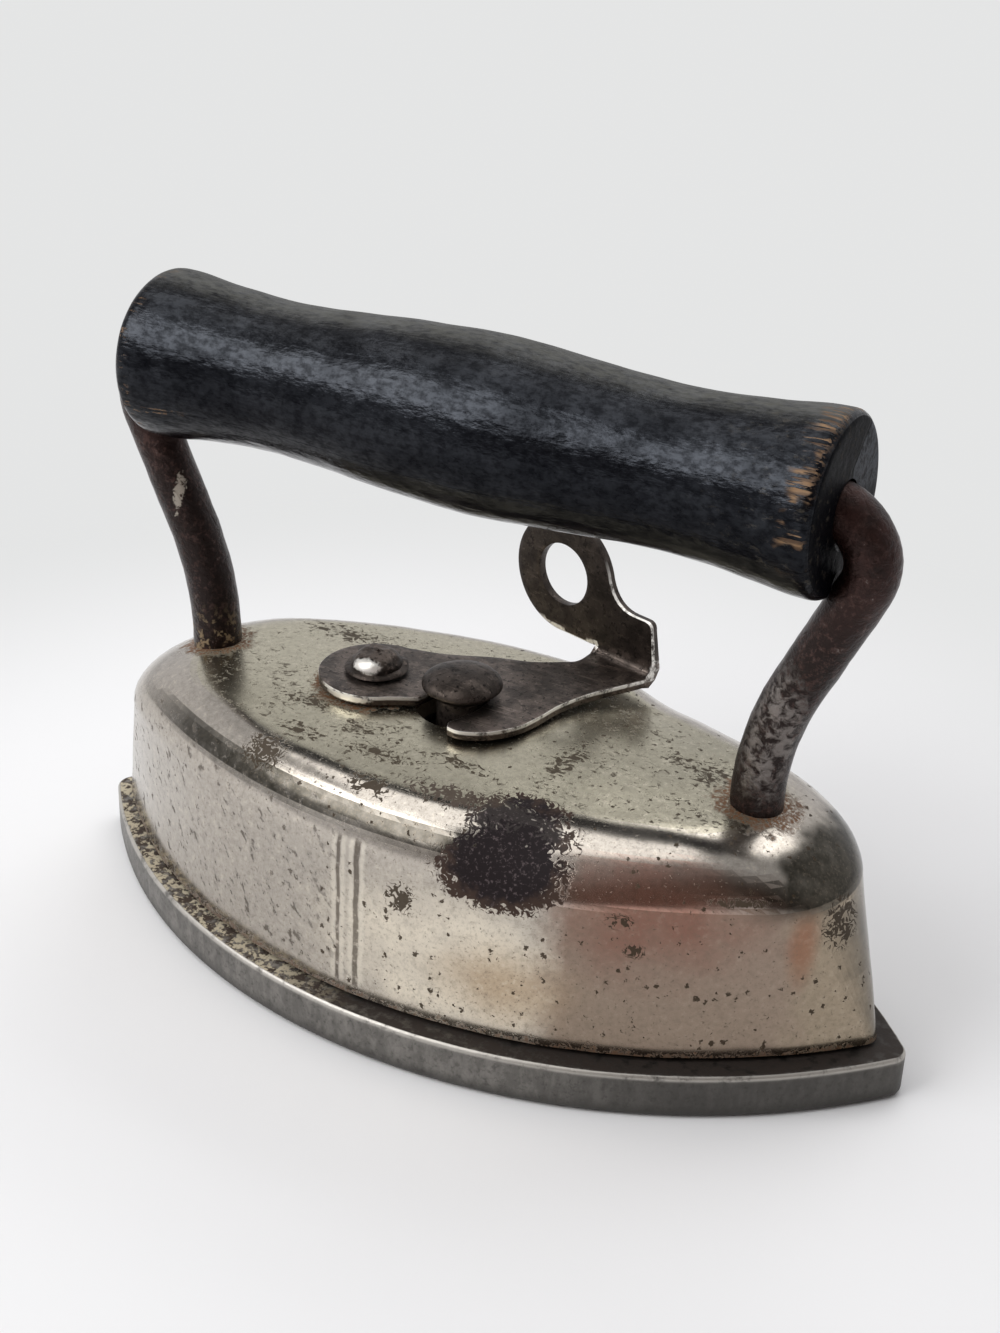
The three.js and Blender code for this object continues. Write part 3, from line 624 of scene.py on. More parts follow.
    marks = r.either(r.both(pits, 0.94), rusty, r.both(scored, 0.72))
    tone = r.mix(marks, tone, r.mix(rusty, settings.pit, settings.rust))
    fleshed = r.mix(r.step(grain, 0.55, 0.63), settings.burn, (0.085, 0.066, 0.068))
    tone = r.mix(burnt, tone, r.mix(core_of_patch, (0.050, 0.030, 0.022), fleshed))
    gone = r.either(marks, burnt)
    scratch = r.noise(1.0, 5.0, 0.75, stretch=(0.5, 0.5, 0.06), seed=70.0)
    roughness = r.plus(r.spread(cloud, 0.09, 0.20), r.both(scratch, 0.10))
    roughness = r.plus(roughness, r.both(on_top, 0.07))
    height = r.plus(r.both(gone, -1.0), r.both(grain, 0.10))
    height = r.plus(height, r.both(scratch, 0.08))
    return r.surface(
        Base_Color=tone,
        Metallic=r.blend(gone, 1.0, 0.1),
        Specular_IOR_Level=r.blend(gone, 0.5, 0.2),
        Roughness=r.blend(gone, roughness, 0.62),
        Normal=r.bump(height, 0.035 * MM, 0.6),
    )


def iron_material(settings):
    r = Recipe("cast_iron")
    grain = r.noise(1.6, 8.0, 0.72, seed=2.0)
    streak = r.noise(1.0, 5.0, 0.7, stretch=(0.7, 0.7, 0.35), seed=6.0)
    wear_and_highlight = r.step(r.attribute("wear_and_highlight"), 0.04, 0.4)
    dark, pale = times(0.4, settings.iron), times(1.6, settings.iron)
    tone = r.mix(r.step(streak, 0.36, 0.68), settings.iron, pale)
    tone = r.mix(r.both(r.step(grain, 0.50, 0.66), 0.5), tone, dark)
    # Painted shade towards the bottom of the flange; the next line darkens the flange towards the front
    tone = r.mix(r.both(r.step(r.z, 2.2, 0.4), 0.75), tone, dark)
    tone = r.mix(r.both(r.step(r.x, 12.0, 34.0), 0.75), tone, dark)
    # Painted highlight along the flange's ridge, with real wear on its edge
    ridge_highlight = r.both(r.step(r.z, 4.45, 4.85), r.step(r.z, 5.19, 5.1))
    rub_and_highlight = r.both(r.either(ridge_highlight, r.both(wear_and_highlight, r.step(r.z, 4.0, 4.6))), 0.7)
    rub_and_highlight = r.both(rub_and_highlight, r.step(r.noise(0.45, 6.0, 0.7, seed=7.0), 0.30, 0.50))
    tone = r.mix(rub_and_highlight, tone, settings.worn_iron_and_highlight)
    ledge = r.both(r.step(r.z, 5.12, 5.17), r.step(r.z, 6.0, 5.3))
    body = r.step(r.z, 5.3, 6.0)
    rusty = r.mix(r.step(grain, 0.48, 0.62), (0.085, 0.062, 0.048), (0.13, 0.062, 0.032))
    tone = r.mix(r.both(body, 0.75), tone, rusty)
    rust = r.step(r.noise(0.7, 6.0, 0.7, seed=9.0), 0.36, 0.54)
    tone = r.mix(r.both(ledge, rust), tone, settings.dirt)
    # Painted contact shadow: near-black on the ledge from the middle towards the front
    tone = r.mix(r.both(ledge, r.step(r.x, -14.0, 2.0), 0.75), tone, (0.014, 0.010, 0.008))
    dust = r.both(ledge, r.step(r.noise(1.2, 5.0, 0.7, seed=11.0), 0.49, 0.54), r.step(r.x, 0.0, -14.0))
    tone = r.mix(dust, tone, (0.42, 0.37, 0.27))
    dull = r.both(ledge, r.either(r.both(rust, 0.7), dust))
    height = r.plus(r.both(grain, 0.6), r.both(streak, 0.4))
    return r.surface(
        Base_Color=tone,
        Metallic=r.blend(r.either(dull, r.both(body, 0.8)), 0.85, 0.0),
        Roughness=r.blend(r.either(dull, r.both(body, 0.7)), r.spread(grain, 0.32, 0.58), 0.85),
        Normal=r.bump(height, 0.07 * MM, 0.6),
    )


def rod_material(settings):
    r = Recipe("rusted_rod")
    cloud = r.noise(0.22, 4.0, seed=14.0)
    grain = r.noise(1.3, 8.0, 0.75, seed=15.0)
    pits = r.noise(1.0, 4.0, 0.6, seed=16.0, distortion=0.6)
    pale, dark = times(1.7, settings.steel), times(0.45, settings.steel)
    tone = r.mix(r.step(cloud, 0.35, 0.65), settings.steel, pale)
    tone = r.mix(r.step(grain, 0.6, 0.5), tone, dark)
    specks = r.both(r.step(grain, 0.62, 0.70), r.step(r.noise(0.3, 3.0, seed=18.0), 0.42, 0.56))
    # Painted highlight on the front leg, partly bare rubbed steel
    rubbed_and_highlight = r.near((HANDLE_X / MM + 35.0, -2.4, 38.0), (4.5, 2.4, 9.0), grain, 1.6)
    rubbed_and_highlight = r.both(r.step(rubbed_and_highlight, 1.1, 0.5), r.step(r.plus(pits, r.both(grain, 0.5)), 0.62, 0.86), 0.6)
    foot = r.step(r.z, 35.0, 29.0)
    crust = r.both(foot, r.step(r.noise(1.1, 6.0, 0.7, seed=19.0), 0.54, 0.6), r.step(r.x, 10.0, -10.0))
    chip = r.step(r.near((-37.6, -2.6, 47.0), (0.5, 1.4, 2.6), grain, 4.4), 1.0, 0.8)
    tone = r.mix(r.either(specks, rubbed_and_highlight), tone, settings.bright_steel_and_highlight)
    tone = r.mix(crust, tone, (0.26, 0.19, 0.11))
    tone = r.mix(chip, tone, (0.34, 0.30, 0.25))
    rust_red = r.both(r.step(r.z, 46.0, 60.0), r.step(cloud, 0.3, 0.6), 0.6)
    tone = r.mix(rust_red, tone, (0.050, 0.019, 0.015))
    height = r.plus(r.both(pits, 0.9), r.both(grain, 0.35))
    return r.surface(
        Base_Color=tone,
        Metallic=r.blend(r.either(crust, chip), 0.7, 0.1),
        Roughness=r.blend(crust, r.spread(grain, 0.16, 0.48), 0.8),
        Normal=r.bump(height, 0.26 * MM, 0.9),
    )


def steel_material(name, settings, seed, level=1.0, dull=0.0, edges=1.0):
    r = Recipe(name)
    cloud = r.noise(0.42, 5.0, 0.6, seed=seed)
    grain = r.noise(1.5, 8.0, 0.72, seed=seed + 1.0)
    scratch = r.noise(1.0, 5.0, 0.8, stretch=(0.15, 1.4, 1.4), seed=seed + 2.0)
    facing, _, _, level_of = r.facing()
    across_tab = (-math.sin(FOLD_ANGLE), math.cos(FOLD_ANGLE), 0.0)
    on_tab = r.step(r.z, 32.0, 32.6)
    turned = r.vector("DOT_PRODUCT", facing, across_tab)
    square = r.blend(on_tab, r.size(level_of), r.size(turned))
    from_pivot = r.vector("DOT_PRODUCT", r.vector("SUBTRACT", r.mm, (PIVOT_X / MM, 0.0, 0.0)), across_tab)
    depth = r.blend(on_tab, r.minus(30.75, r.z), r.minus(from_pivot, 21.0))
    off_ring = r.either(r.step(r.x, 5.0, 7.0), r.minus(1.0, on_tab))
    # Painted highlight: bright line along the lever's worn edges
    arris = r.both(r.step(depth, 0.48, 0.32), off_ring, r.step(square, 0.97, 0.90))
    arris = r.both(arris, r.step(r.attribute("wear_and_highlight"), 0.03, 0.15))
    # Painted highlights on the rivet's dome and the lever's near edges
    glint = r.either(
        r.step(r.near((-13.0, -2.2, 32.2), (1.7, 1.0, 0.8), grain, 1.6), 1.1, 0.7),
        r.step(r.near((1.5, -9.6, 30.1), (3.6, 1.6, 0.34), grain, 1.2), 1.1, 0.7),
        r.step(r.near((-13.0, -6.4, 30.2), (4.2, 1.2, 0.40), grain, 1.2), 1.1, 0.7),
    )
    low = r.both(r.step(r.y, 8.0, 16.0), on_tab)
    dark, base, pale, bare = (times(level * k, settings.steel) for k in (0.35, 1.0, 2.2, 4.5))
    tone = r.mix(r.step(cloud, 0.40, 0.60), base, pale)
    tone = r.mix(r.both(r.step(scratch, 0.56, 0.66), 0.7), tone, bare)
    spots = r.both(r.step(r.noise(2.2, 5.0, 0.7, seed=seed + 5.0), 0.56, 0.66), r.step(cloud, 0.35, 0.6))
    tone = r.mix(r.both(spots, 0.8), tone, bare)
    tone = r.mix(r.step(grain, 0.54, 0.62), tone, dark)
    tone = r.mix(r.both(low, 0.65), tone, dark)
    rub_and_highlight = r.both(arris, edges, r.step(r.noise(0.55, 6.0, 0.7, seed=seed + 3.0), 0.36, 0.52))
    rub_and_highlight = r.either(rub_and_highlight, glint)
    tone = r.mix(rub_and_highlight, tone, settings.bright_steel_and_highlight)
    height = r.plus(r.both(grain, 0.7), r.both(scratch, 0.2))
    return r.surface(
        Base_Color=tone,
        Metallic=0.9,
        Roughness=r.blend(rub_and_highlight, r.spread(grain, 0.24 + dull, 0.50 + dull), 0.4),
        Normal=r.bump(height, 0.09 * MM, 0.75),
    )


def grip_material(settings):
    r = Recipe("black_painted_wood")
    cloud = r.noise(0.16, 4.0, seed=24.0)
    fine = r.noise(1.2, 8.0, 0.75, stretch=(0.5, 1.0, 1.0), seed=25.0)
    grain = r.noise(1.0, 4.0, 0.6, stretch=(0.08, 1.5, 1.5), seed=26.0)
    ripple = r.noise(0.9, 3.0, 0.6, stretch=(0.45, 1.0, 1.0), seed=23.0)
    scratch = r.noise(1.0, 6.0, 0.8, stretch=(0.35, 1.8, 1.8), seed=27.0)
    along = r.minus(r.x, HANDLE_X / MM)
    half = (GRIP_HIGH.x - GRIP_LOW.x) / 2 / MM
    up = r.minus(r.z, settings.axis_height / MM)
    uneven = r.sway(r.noise(0.4, 2.0, seed=29.0), 2.0)
    worn_front = r.both(
        r.step(r.plus(along, uneven), half - 3.4, half - 2.2),
        r.step(along, half - 0.1, half - 0.9),
        r.step(r.plus(up, r.both(uneven, 2.0)), -4.5, -1.5),
    )
    worn_rear = r.step(r.minus(along, uneven), 2.2 - half, 1.4 - half)
    worn_rear = r.both(worn_rear, r.step(along, 0.1 - half, 0.8 - half))
    stripes = r.step(r.noise(1.0, 3.0, 0.6, stretch=(0.25, 2.6, 2.6), seed=28.0), 0.48, 0.56)
    spared = r.step(r.noise(0.26, 2.0, seed=30.0), 0.44, 0.52)
    bare = r.both(worn_front, stripes, spared, 0.85)
    bare = r.either(bare, r.both(worn_rear, stripes, r.step(fine, 0.52, 0.6), 0.6))
    bare = r.either(bare, r.both(r.step(fine, 0.70, 0.73), r.step(cloud, 0.46, 0.6), 0.6))
    off_seam = r.plus(r.both(r.y, -math.sin(SEAM_TILT)), r.both(up, math.cos(SEAM_TILT)))
    off_seam = r.size(r.plus(off_seam, r.both(uneven, 0.12)))
    at_seam = r.both(r.step(along, 9.0 - half, 5.0 - half), r.step(r.y, 0.0, -3.0))
    bare = r.either(bare, r.both(at_seam, r.step(off_seam, 0.45, 0.25), r.step(fine, 0.5, 0.56), 0.7))

    # The top is rubbed to a dull olive, lightened by a painted reflection, the front end is dull and cracked
    # from the bore to the rim
    radial = r.facing()[1:]
    dull = r.both(r.step(radial[2], 0.80, 0.97), r.step(radial[1], -0.45, -0.05))
    face = r.step(r.size(radial[0]), 0.7, 0.95)
    tone = r.mix(r.step(scratch, 0.62, 0.76), settings.paint, (0.016, 0.016, 0.019))
    # Painted reflection: lighter olive on the top, over the real rubbed dull paint
    tone = r.mix(r.both(dull, r.step(fine, 0.3, 0.6), 0.8), tone, (0.085, 0.084, 0.074))
    dusty = r.both(r.step(fine, 0.56, 0.66), r.step(along, half - 14.0, half - 3.0), 0.5)
    tone = r.mix(dusty, tone, (0.07, 0.06, 0.045))
    tone = r.mix(bare, tone, r.mix(r.step(grain, 0.4, 0.6), settings.bare_wood, (0.10, 0.06, 0.035)))
    lean = r.minus(r.minus(r.y, up), r.both(uneven, 0.7))
    front_face = r.step(radial[0], 0.7, 0.95)
    beyond = r.both(front_face, r.step(lean, -2.6, -2.2), r.step(r.y, 0.8, 1.2), r.step(up, -1.0, 1.0))
    crack = r.both(front_face, r.step(r.size(r.plus(lean, 2.7)), 0.36, 0.2), r.step(r.y, 0.2, 0.6))
    tone = r.mix(r.both(beyond, r.step(fine, 0.40, 0.55)), tone, (0.075, 0.080, 0.090))
    tone = r.mix(r.both(face, r.step(fine, 0.56, 0.64), 0.5), tone, (0.030, 0.025, 0.020))
    seam = r.both(at_seam, r.step(off_seam, 0.2, 0.1))
    tone = r.mix(r.either(crack, seam), tone, (0.002, 0.002, 0.002))
    patchy = r.noise(1.5, 6.0, 0.7, stretch=(0.6, 1.0, 1.0), seed=31.0)
    glossy = r.spread(r.step(cloud, 0.35, 0.62), 0.55, 1.1)
    glossy = r.both(glossy, r.spread(r.step(radial[2], 0.25, -0.2), 1.0, 0.55))
    glossy = r.both(r.spread(r.step(patchy, 0.36, 0.62), 0.12, 0.34), glossy)
    rough = r.plus(r.spread(r.step(fine, 0.35, 0.65), 0.05, 0.20), r.both(r.either(dull, face), 0.35))
    height = r.plus(r.both(grain, 0.30), r.both(scratch, 0.30))
    height = r.plus(height, r.both(ripple, 1.6))
    height = r.minus(height, r.both(r.either(bare, crack), 0.5))
    return r.surface(
        Base_Color=tone,
        Roughness=r.blend(bare, rough, 0.75),
        Specular_IOR_Level=r.blend(face, glossy, 0.03),
        Specular_Tint=(0.80, 0.87, 1.0),
        Normal=r.bump(height, 0.085 * MM, 0.8),
    )


def board_material():
    r = Recipe("lining_board")
    fibre = r.noise(1.4, 6.0, 0.7, stretch=(0.5, 1.0, 1.0), seed=33.0)
    tone = r.mix(fibre, (0.62, 0.58, 0.48), (0.40, 0.35, 0.27))
    return r.surface(Base_Color=tone, Roughness=0.95, Normal=r.bump(fibre, 0.15 * MM, 0.6))


def plain_steel_material():
    r = Recipe("plain_steel")
    grain = r.noise(0.9, 7.0, 0.7, seed=36.0)
    tone = r.mix(r.step(grain, 0.5, 0.62), (0.34, 0.32, 0.30), (0.14, 0.075, 0.045))
    return r.surface(Base_Color=tone, Metallic=0.8, Roughness=r.spread(grain, 0.35, 0.65))


# Pieces


class SADIRON_OT_core(bpy.types.Operator):
    """Build the cast-iron core: the sole's flange, the body that fills the hood and the seat on top"""

    bl_idname = "sadiron.core"
    bl_label = "Core"

    def execute(self, context):
        s = context.scene.sad_iron_core
        half_length, half_width = (CORE_HIGH.x - CORE_LOW.x) / 2, (CORE_HIGH.y - CORE_LOW.y) / 2
        rings = []

        def ring(outline, z, middle=HOOD_X):
            rings.append([(middle + x, y, z) for x, y in outline])

        def sole(inset, z):
            ring(lens_outline(half_length, half_width, s.tip_radius, inset), z, 0.0)

        for i in range(6):
            turn = QUARTER * i / 5
            sole(s.sole_edge * (1 - math.sin(turn)), s.sole_edge * (1 - math.cos(turn)))
        for i in range(1, 6):
            sole(0.0, s.sole_edge + (s.flange_height - s.ledge_edge - s.sole_edge) * i / 6)
        for i in range(6):
            turn = QUARTER * i / 5
            sole(s.ledge_edge * (1 - math.cos(turn)), s.flange_height - s.ledge_edge * (1 - math.sin(turn)))
        body_top, shoulder, inset = 22.6 * MM, 3.0 * MM, 3.3 * MM
        wall_top = body_top - shoulder
        for z in (s.flange_height, (s.flange_height + wall_top) / 2, wall_top):
            ring(hood_outline(z, wall_top, 0, 0, inset), z)
        for i in range(1, 7):
            turn = QUARTER * i / 6
            drawn = 1 - math.cos(turn)
            z = wall_top + shoulder * math.sin(turn)
            ring(hood_outline(z, wall_top, shoulder * drawn, 5.0 * MM * drawn**0.85, inset), z)
        seat = lens_outline(26.0 * MM, 9.0 * MM, 3.0 * MM)
        ring(seat, body_top)
        ring(seat, CORE_HIGH.z)
        core = skin_rings("iron_core", rings)

        def sideways(vert):
            on_edge = 0.4 * MM < vert.co.z < s.flange_height - 0.01 * MM
            return Vector((0, math.copysign(on_edge, vert.co.y), 0))

        displace(core, 0.05 * MM, 6 * MM, 2, sideways)
        bore = pin(STUD_X, 3.0 * MM, CORE_HIGH.z - 12.3 * MM, CORE_HIGH.z + MM)
        recess = pin(PIVOT_X, 3.9 * MM, RIVET_LOW.z - 0.6 * MM, CORE_HIGH.z + MM)
        cut(core, [bore, recess])
        finish_piece(core, "core", "core", material=iron_material(s), slot="cast_iron")
        return {"FINISHED"}


def hood_outline(z, wall_top, side_in, tip_in, inset):
    """Plan of the hood's form at a height, as in the solid model."""
    rise = min(z, wall_top) - HOOD_LOW.z
    half_width = (HOOD_HIGH.y - HOOD_LOW.y) / 2 - rise * WALL_DRAFT - side_in
    half_length = (HOOD_HIGH.x - HOOD_LOW.x) / 2 - rise * TIP_DRAFT - tip_in
    level = (z - HOOD_LOW.z) / (HOOD_HIGH.z - HOOD_LOW.z)
    roundness = RIM_ROUNDNESS + (TOP_ROUNDNESS - RIM_ROUNDNESS) * level
    return lens_outline(half_length, half_width, max(half_width * roundness, 0.3 * MM), inset)


def softened(outline, soft_outline):
    """Goes over from one outline to a softer one on the flanks towards the front tip."""
    mixed = []
    for (x, y), (soft_x, soft_y) in zip(outline, soft_outline):
        from_middle, from_tip = (x / MM - 8.0) / 9.0, (42.0 - x / MM) / 7.0
        part = min(1.0, max(0.0, from_middle)) * min(1.0, max(0.0, from_tip))
        part = part * part * (3 - 2 * part)
        mixed.append((x + (soft_x - x) * part, y + (soft_y - y) * part))
    return mixed


def hood_rings(s, depth):
    """Rings of the hood's outer form, or of one nested inside it at a depth, from the rim to the top."""
    wall_top = HOOD_HIGH.z - s.crown - s.shoulder_height
    top = HOOD_HIGH.z - depth
    height = top - s.crown - wall_top
    wall_steps, shoulder_steps, crown_steps = 14, 18, 24
    softness = 1.66
    rings = []
    for i in range(wall_steps + 1):
        z = HOOD_LOW.z + (wall_top - HOOD_LOW.z) * i / wall_steps
        rings.append([(HOOD_X + x, y, z) for x, y in hood_outline(z, wall_top, 0, 0, depth)])
    for i in range(1, shoulder_steps + 1):
        turn = QUARTER * i / shoulder_steps
        drawn = 1 - math.cos(turn)
        z = wall_top + height * math.sin(turn)
        tip_in = (s.tip_shoulder - depth) * drawn**s.tip_ease
        level = min(1.0, (z - wall_top) / height)
        soft = 1 - (1 - level**softness) ** (1 / softness)
        outline = softened(
            hood_outline(z, wall_top, (s.shoulder_width - depth) * drawn, tip_in, depth),
            hood_outline(z, wall_top, (s.shoulder_width + s.soft_flank - depth) * soft, tip_in, depth),
        )
        rings.append([(HOOD_X + x, y, z) for x, y in outline])
    for i in range(1, crown_steps):
        keep = 1 - i / crown_steps
        rings.append([(HOOD_X + x * keep, y * keep, top - s.crown * keep**2) for x, y in outline])
    return rings


class SADIRON_OT_hood(bpy.types.Operator):
    """Build the pressed nickel-plated hood with its rolled shoulder, its holes and its shallow dents"""

    bl_idname = "sadiron.hood"
    bl_label = "Hood"

    def execute(self, context):
        s = context.scene.sad_iron_hood
        handle = context.scene.sad_iron_handle
        hood = skin_rings("nickel_hood", hood_rings(s, 0.0)[::-1] + hood_rings(s, s.sheet))
        low, high = PLATE_LOW.z, HOOD_HIGH.z + MM
        foot_hole = 1.95 * MM
        cutters = [
            pin(STUD_X, 4.9 * MM, low, high, 64),
            pin(PIVOT_X, 1.75 * MM, low, high),
            pin(HANDLE_X + handle.foot, foot_hole, low, high),
            pin(HANDLE_X - handle.foot, foot_hole, low, high),
        ]
        cut(hood, cutters)
        displace(hood, s.dent, 9 * MM, 1, outward)
        displace(hood, s.dent * 0.3, 3 * MM, 4, outward)
        look = nickel_material(s, handle.foot)
        finish_piece(hood, "hood", "hood_shell", material=look, slot="worn_nickel")
        return {"FINISHED"}


def bent_path(corners, radii, steps=14):
    """Points of a path through corners with round bends."""
    points = [corners[0]]
    for i in range(1, len(corners) - 1):
        arriving = (corners[i] - corners[i - 1]).normalized()
        leaving = (corners[i + 1] - corners[i]).normalized()
        turn = arriving.angle(leaving)
        radius = radii[i - 1]
        start = corners[i] - arriving * (radius * math.tan(turn / 2))
        inward = (leaving - arriving * leaving.dot(arriving)).normalized()
        for k in range(steps + 1):
            a = turn * k / steps
            points.append(start + arriving * (radius * math.sin(a)) + inward * (radius * (1 - math.cos(a))))
    points.append(corners[-1])
    fine = []
    for a, b in zip(points, points[1:]):
        parts = max(1, round((b - a).length / (0.8 * MM)))
        fine += [a.lerp(b, k / parts) for k in range(parts)]
    return fine + [points[-1]]


def rod_tree():
    """Geometry Nodes: sweeps a round section along the edges of a mesh."""
    tree = bpy.data.node_groups.new("round_rod", "GeometryNodeTree")
    tree.interface.new_socket("Geometry", in_out="INPUT", socket_type="NodeSocketGeometry")
    tree.interface.new_socket("Radius", in_out="INPUT", socket_type="NodeSocketFloat")
    tree.interface.new_socket("Sides", in_out="INPUT", socket_type="NodeSocketInt")
    tree.interface.new_socket("Material", in_out="INPUT", socket_type="NodeSocketMaterial")
    tree.interface.new_socket("Geometry", in_out="OUTPUT", socket_type="NodeSocketGeometry")
    make, link = tree.nodes.new, tree.links.new
    start, end = make("NodeGroupInput"), make("NodeGroupOutput")
    curve, circle = make("GeometryNodeMeshToCurve"), make("GeometryNodeCurvePrimitiveCircle")
    sweep = make("GeometryNodeCurveToMesh")
    realize, paint = make("GeometryNodeRealizeInstances"), make("GeometryNodeSetMaterial")
    sweep.inputs["Fill Caps"].default_value = True
    link(start.outputs["Geometry"], curve.inputs["Mesh"])
    link(start.outputs["Radius"], circle.inputs["Radius"])
    link(start.outputs["Sides"], circle.inputs["Resolution"])
    link(curve.outputs["Curve"], sweep.inputs["Curve"])
    link(circle.outputs["Curve"], sweep.inputs["Profile Curve"])
    link(sweep.outputs["Mesh"], realize.inputs["Geometry"])
    link(realize.outputs["Geometry"], paint.inputs["Geometry"])
    link(start.outputs["Material"], paint.inputs["Material"])
    link(paint.outputs["Geometry"], end.inputs["Geometry"])
    return tree


def bent_bar(name, s, radius, material=None):
    """Round bar along the handle's path, from foot to foot through the grip."""
    rear = [(-s.foot, ROD_LOW), (-s.foot, s.knee_height), (-s.elbow, s.axis_height)]
    front = [(-x, z) for x, z in rear[::-1]]
    corners = [Vector((HANDLE_X + x, 0, z)) for x, z in rear + front]
    points = bent_path(corners, [s.knee_bend, s.elbow_bend, s.elbow_bend, s.knee_bend])
    mesh = bpy.data.meshes.new(name)
    mesh.from_pydata(points, [(i, i + 1) for i in range(len(points) - 1)], [])
    bar = bpy.data.objects.new(name, mesh)
    bpy.context.scene.collection.objects.link(bar)
    modifier = bar.modifiers.new("Rod", "NODES")
    modifier.node_group = bpy.data.node_groups.get("round_rod") or rod_tree()
    values = {"Radius": radius, "Sides": s.rod_sides, "Material": material}
    for item in modifier.node_group.interface.items_tree:
        if item.in_out == "INPUT" and values.get(item.name):
            modifier[item.identifier] = values[item.name]
    return settle(bar)


class SADIRON_OT_rod(bpy.types.Operator):
    """Sweep the bent handle rod and add its riveted feet"""

    bl_idname = "sadiron.rod"
    bl_label = "Handle rod"

    def execute(self, context):
        s = context.scene.sad_iron_handle
        material = rod_material(s)
        rod = bent_bar("bent_rod", s, s.rod_radius, material)
        displace(rod, 0.07 * MM, 2.2 * MM, 3, lambda v: v.normal)
        neck, head, low, high = 1.7 * MM, 2.5 * MM, WASHER_LOW - 1.2 * MM, ROD_LOW + 0.5 * MM
        tail = [(0, low), (neck, low), (head, WASHER_LOW - 0.6 * MM), (head, WASHER_LOW)]
        tail += [(neck, WASHER_LOW), (neck, high), (0, high)]
        tails = [revolve("tail", tail, 32, (HANDLE_X + side * s.foot, 0, 0)) for side in (-1, 1)]
        join("bent_rod", [rod, *tails])
        finish_piece(rod, "hood", "handle_rod", material=material, slot="rusted_steel")
        return {"FINISHED"}


def catmull(points, steps):
    """Smooth curve through 2D points."""

    def between(p, q, r, u, t):
        square, cube = 2 * p - 5 * q + 4 * r - u, 3 * q - p - 3 * r + u
        return 0.5 * (2 * q + (r - p) * t + square * t**2 + cube * t**3)

    ends = [points[0], *points, points[-1]]
    made = []
    for corners in zip(ends, ends[1:], ends[2:], ends[3:]):
        for k in range(steps):
            made.append(tuple(between(*along, k / steps) for along in zip(*corners)))
    return made + [points[-1]]


class SADIRON_OT_grip(bpy.types.Operator):
    """Turn the wooden grip round the rod and split it into its two halves"""

    bl_idname = "sadiron.grip"
    bl_label = "Grip"

    def execute(self, context):
        s = context.scene.sad_iron_handle
        half = (GRIP_HIGH.x - GRIP_LOW.x) / 2
        shares = ((0, 1), (0.2, 0.966), (0.4, 0.902), (0.6, 0.868), (0.8, 0.922), (0.92, 0.985), (1, 0.99))
        front = [(across * s.grip_radius, along * half) for along, across in shares]
        rear = [(radius, -x) for radius, x in front[:0:-1]]
        side = [p for p in catmull(rear + front, 12) if abs(p[1]) < half - s.end_radius - 0.05 * MM]
        rim = front[-1][0] - s.end_radius
        corner = arc_points(rim, half - s.end_radius, s.end_radius, 0, QUARTER, 6) + [(rim, half)]
        face = [(rim * (1 - k / 8), half) for k in range(1, 8)] + [(0, half)]
        rear_end = [(r, -x) for r, x in (corner + face)[::-1]]
        blank = revolve("grip", rear_end + side + corner + face, 128)
        lying = Matrix.Rotation(QUARTER, 4, "Y")
        blank.data.transform(Matrix.Translation((HANDLE_X, 0, s.axis_height)) @ lying)
        axis = Vector((0, 0, s.axis_height))
        displace(blank, 0.10 * MM, 7 * MM, 5, lambda v: (v.co - axis - Vector((v.co.x, 0, 0))).normalized())
        cut(blank, [bent_bar("rod_space", s, s.rod_radius + 0.28 * MM)])
        normal = Vector((0, -math.sin(SEAM_TILT), math.cos(SEAM_TILT)))
        material = grip_material(s)
        for name, direction in (("grip_upper", 1), ("grip_lower", -1)):
            bm = bmesh.new()
            bm.from_mesh(blank.data)
            bmesh.ops.bisect_plane(
                bm,
                geom=[*bm.verts, *bm.edges, *bm.faces],
                plane_co=axis + normal * direction * 0.02 * MM,
                plane_no=normal * direction,
                clear_inner=True,
            )
            bmesh.ops.holes_fill(bm, edges=[e for e in bm.edges if e.is_boundary])
            bmesh.ops.recalc_face_normals(bm, faces=bm.faces)
            mesh = bpy.data.meshes.new(name)
            bm.to_mesh(mesh)
            bm.free()
            half_grip = bpy.data.objects.new(name, mesh)
            context.scene.collection.objects.link(half_grip)
            finish_piece(half_grip, "hood", name + "_half", material=material, slot="black_wood", sharp=50)
        bpy.data.objects.remove(blank)
        return {"FINISHED"}


def quadratic(a, b, c, steps):
    """Curve from a to c that b pulls towards itself."""
    made = []
    for t in (k / steps for k in range(steps + 1)):
        made.append(tuple((1 - t) ** 2 * p + 2 * t * (1 - t) * q + t * t * r for p, q, r in zip(a, b, c)))
    return made


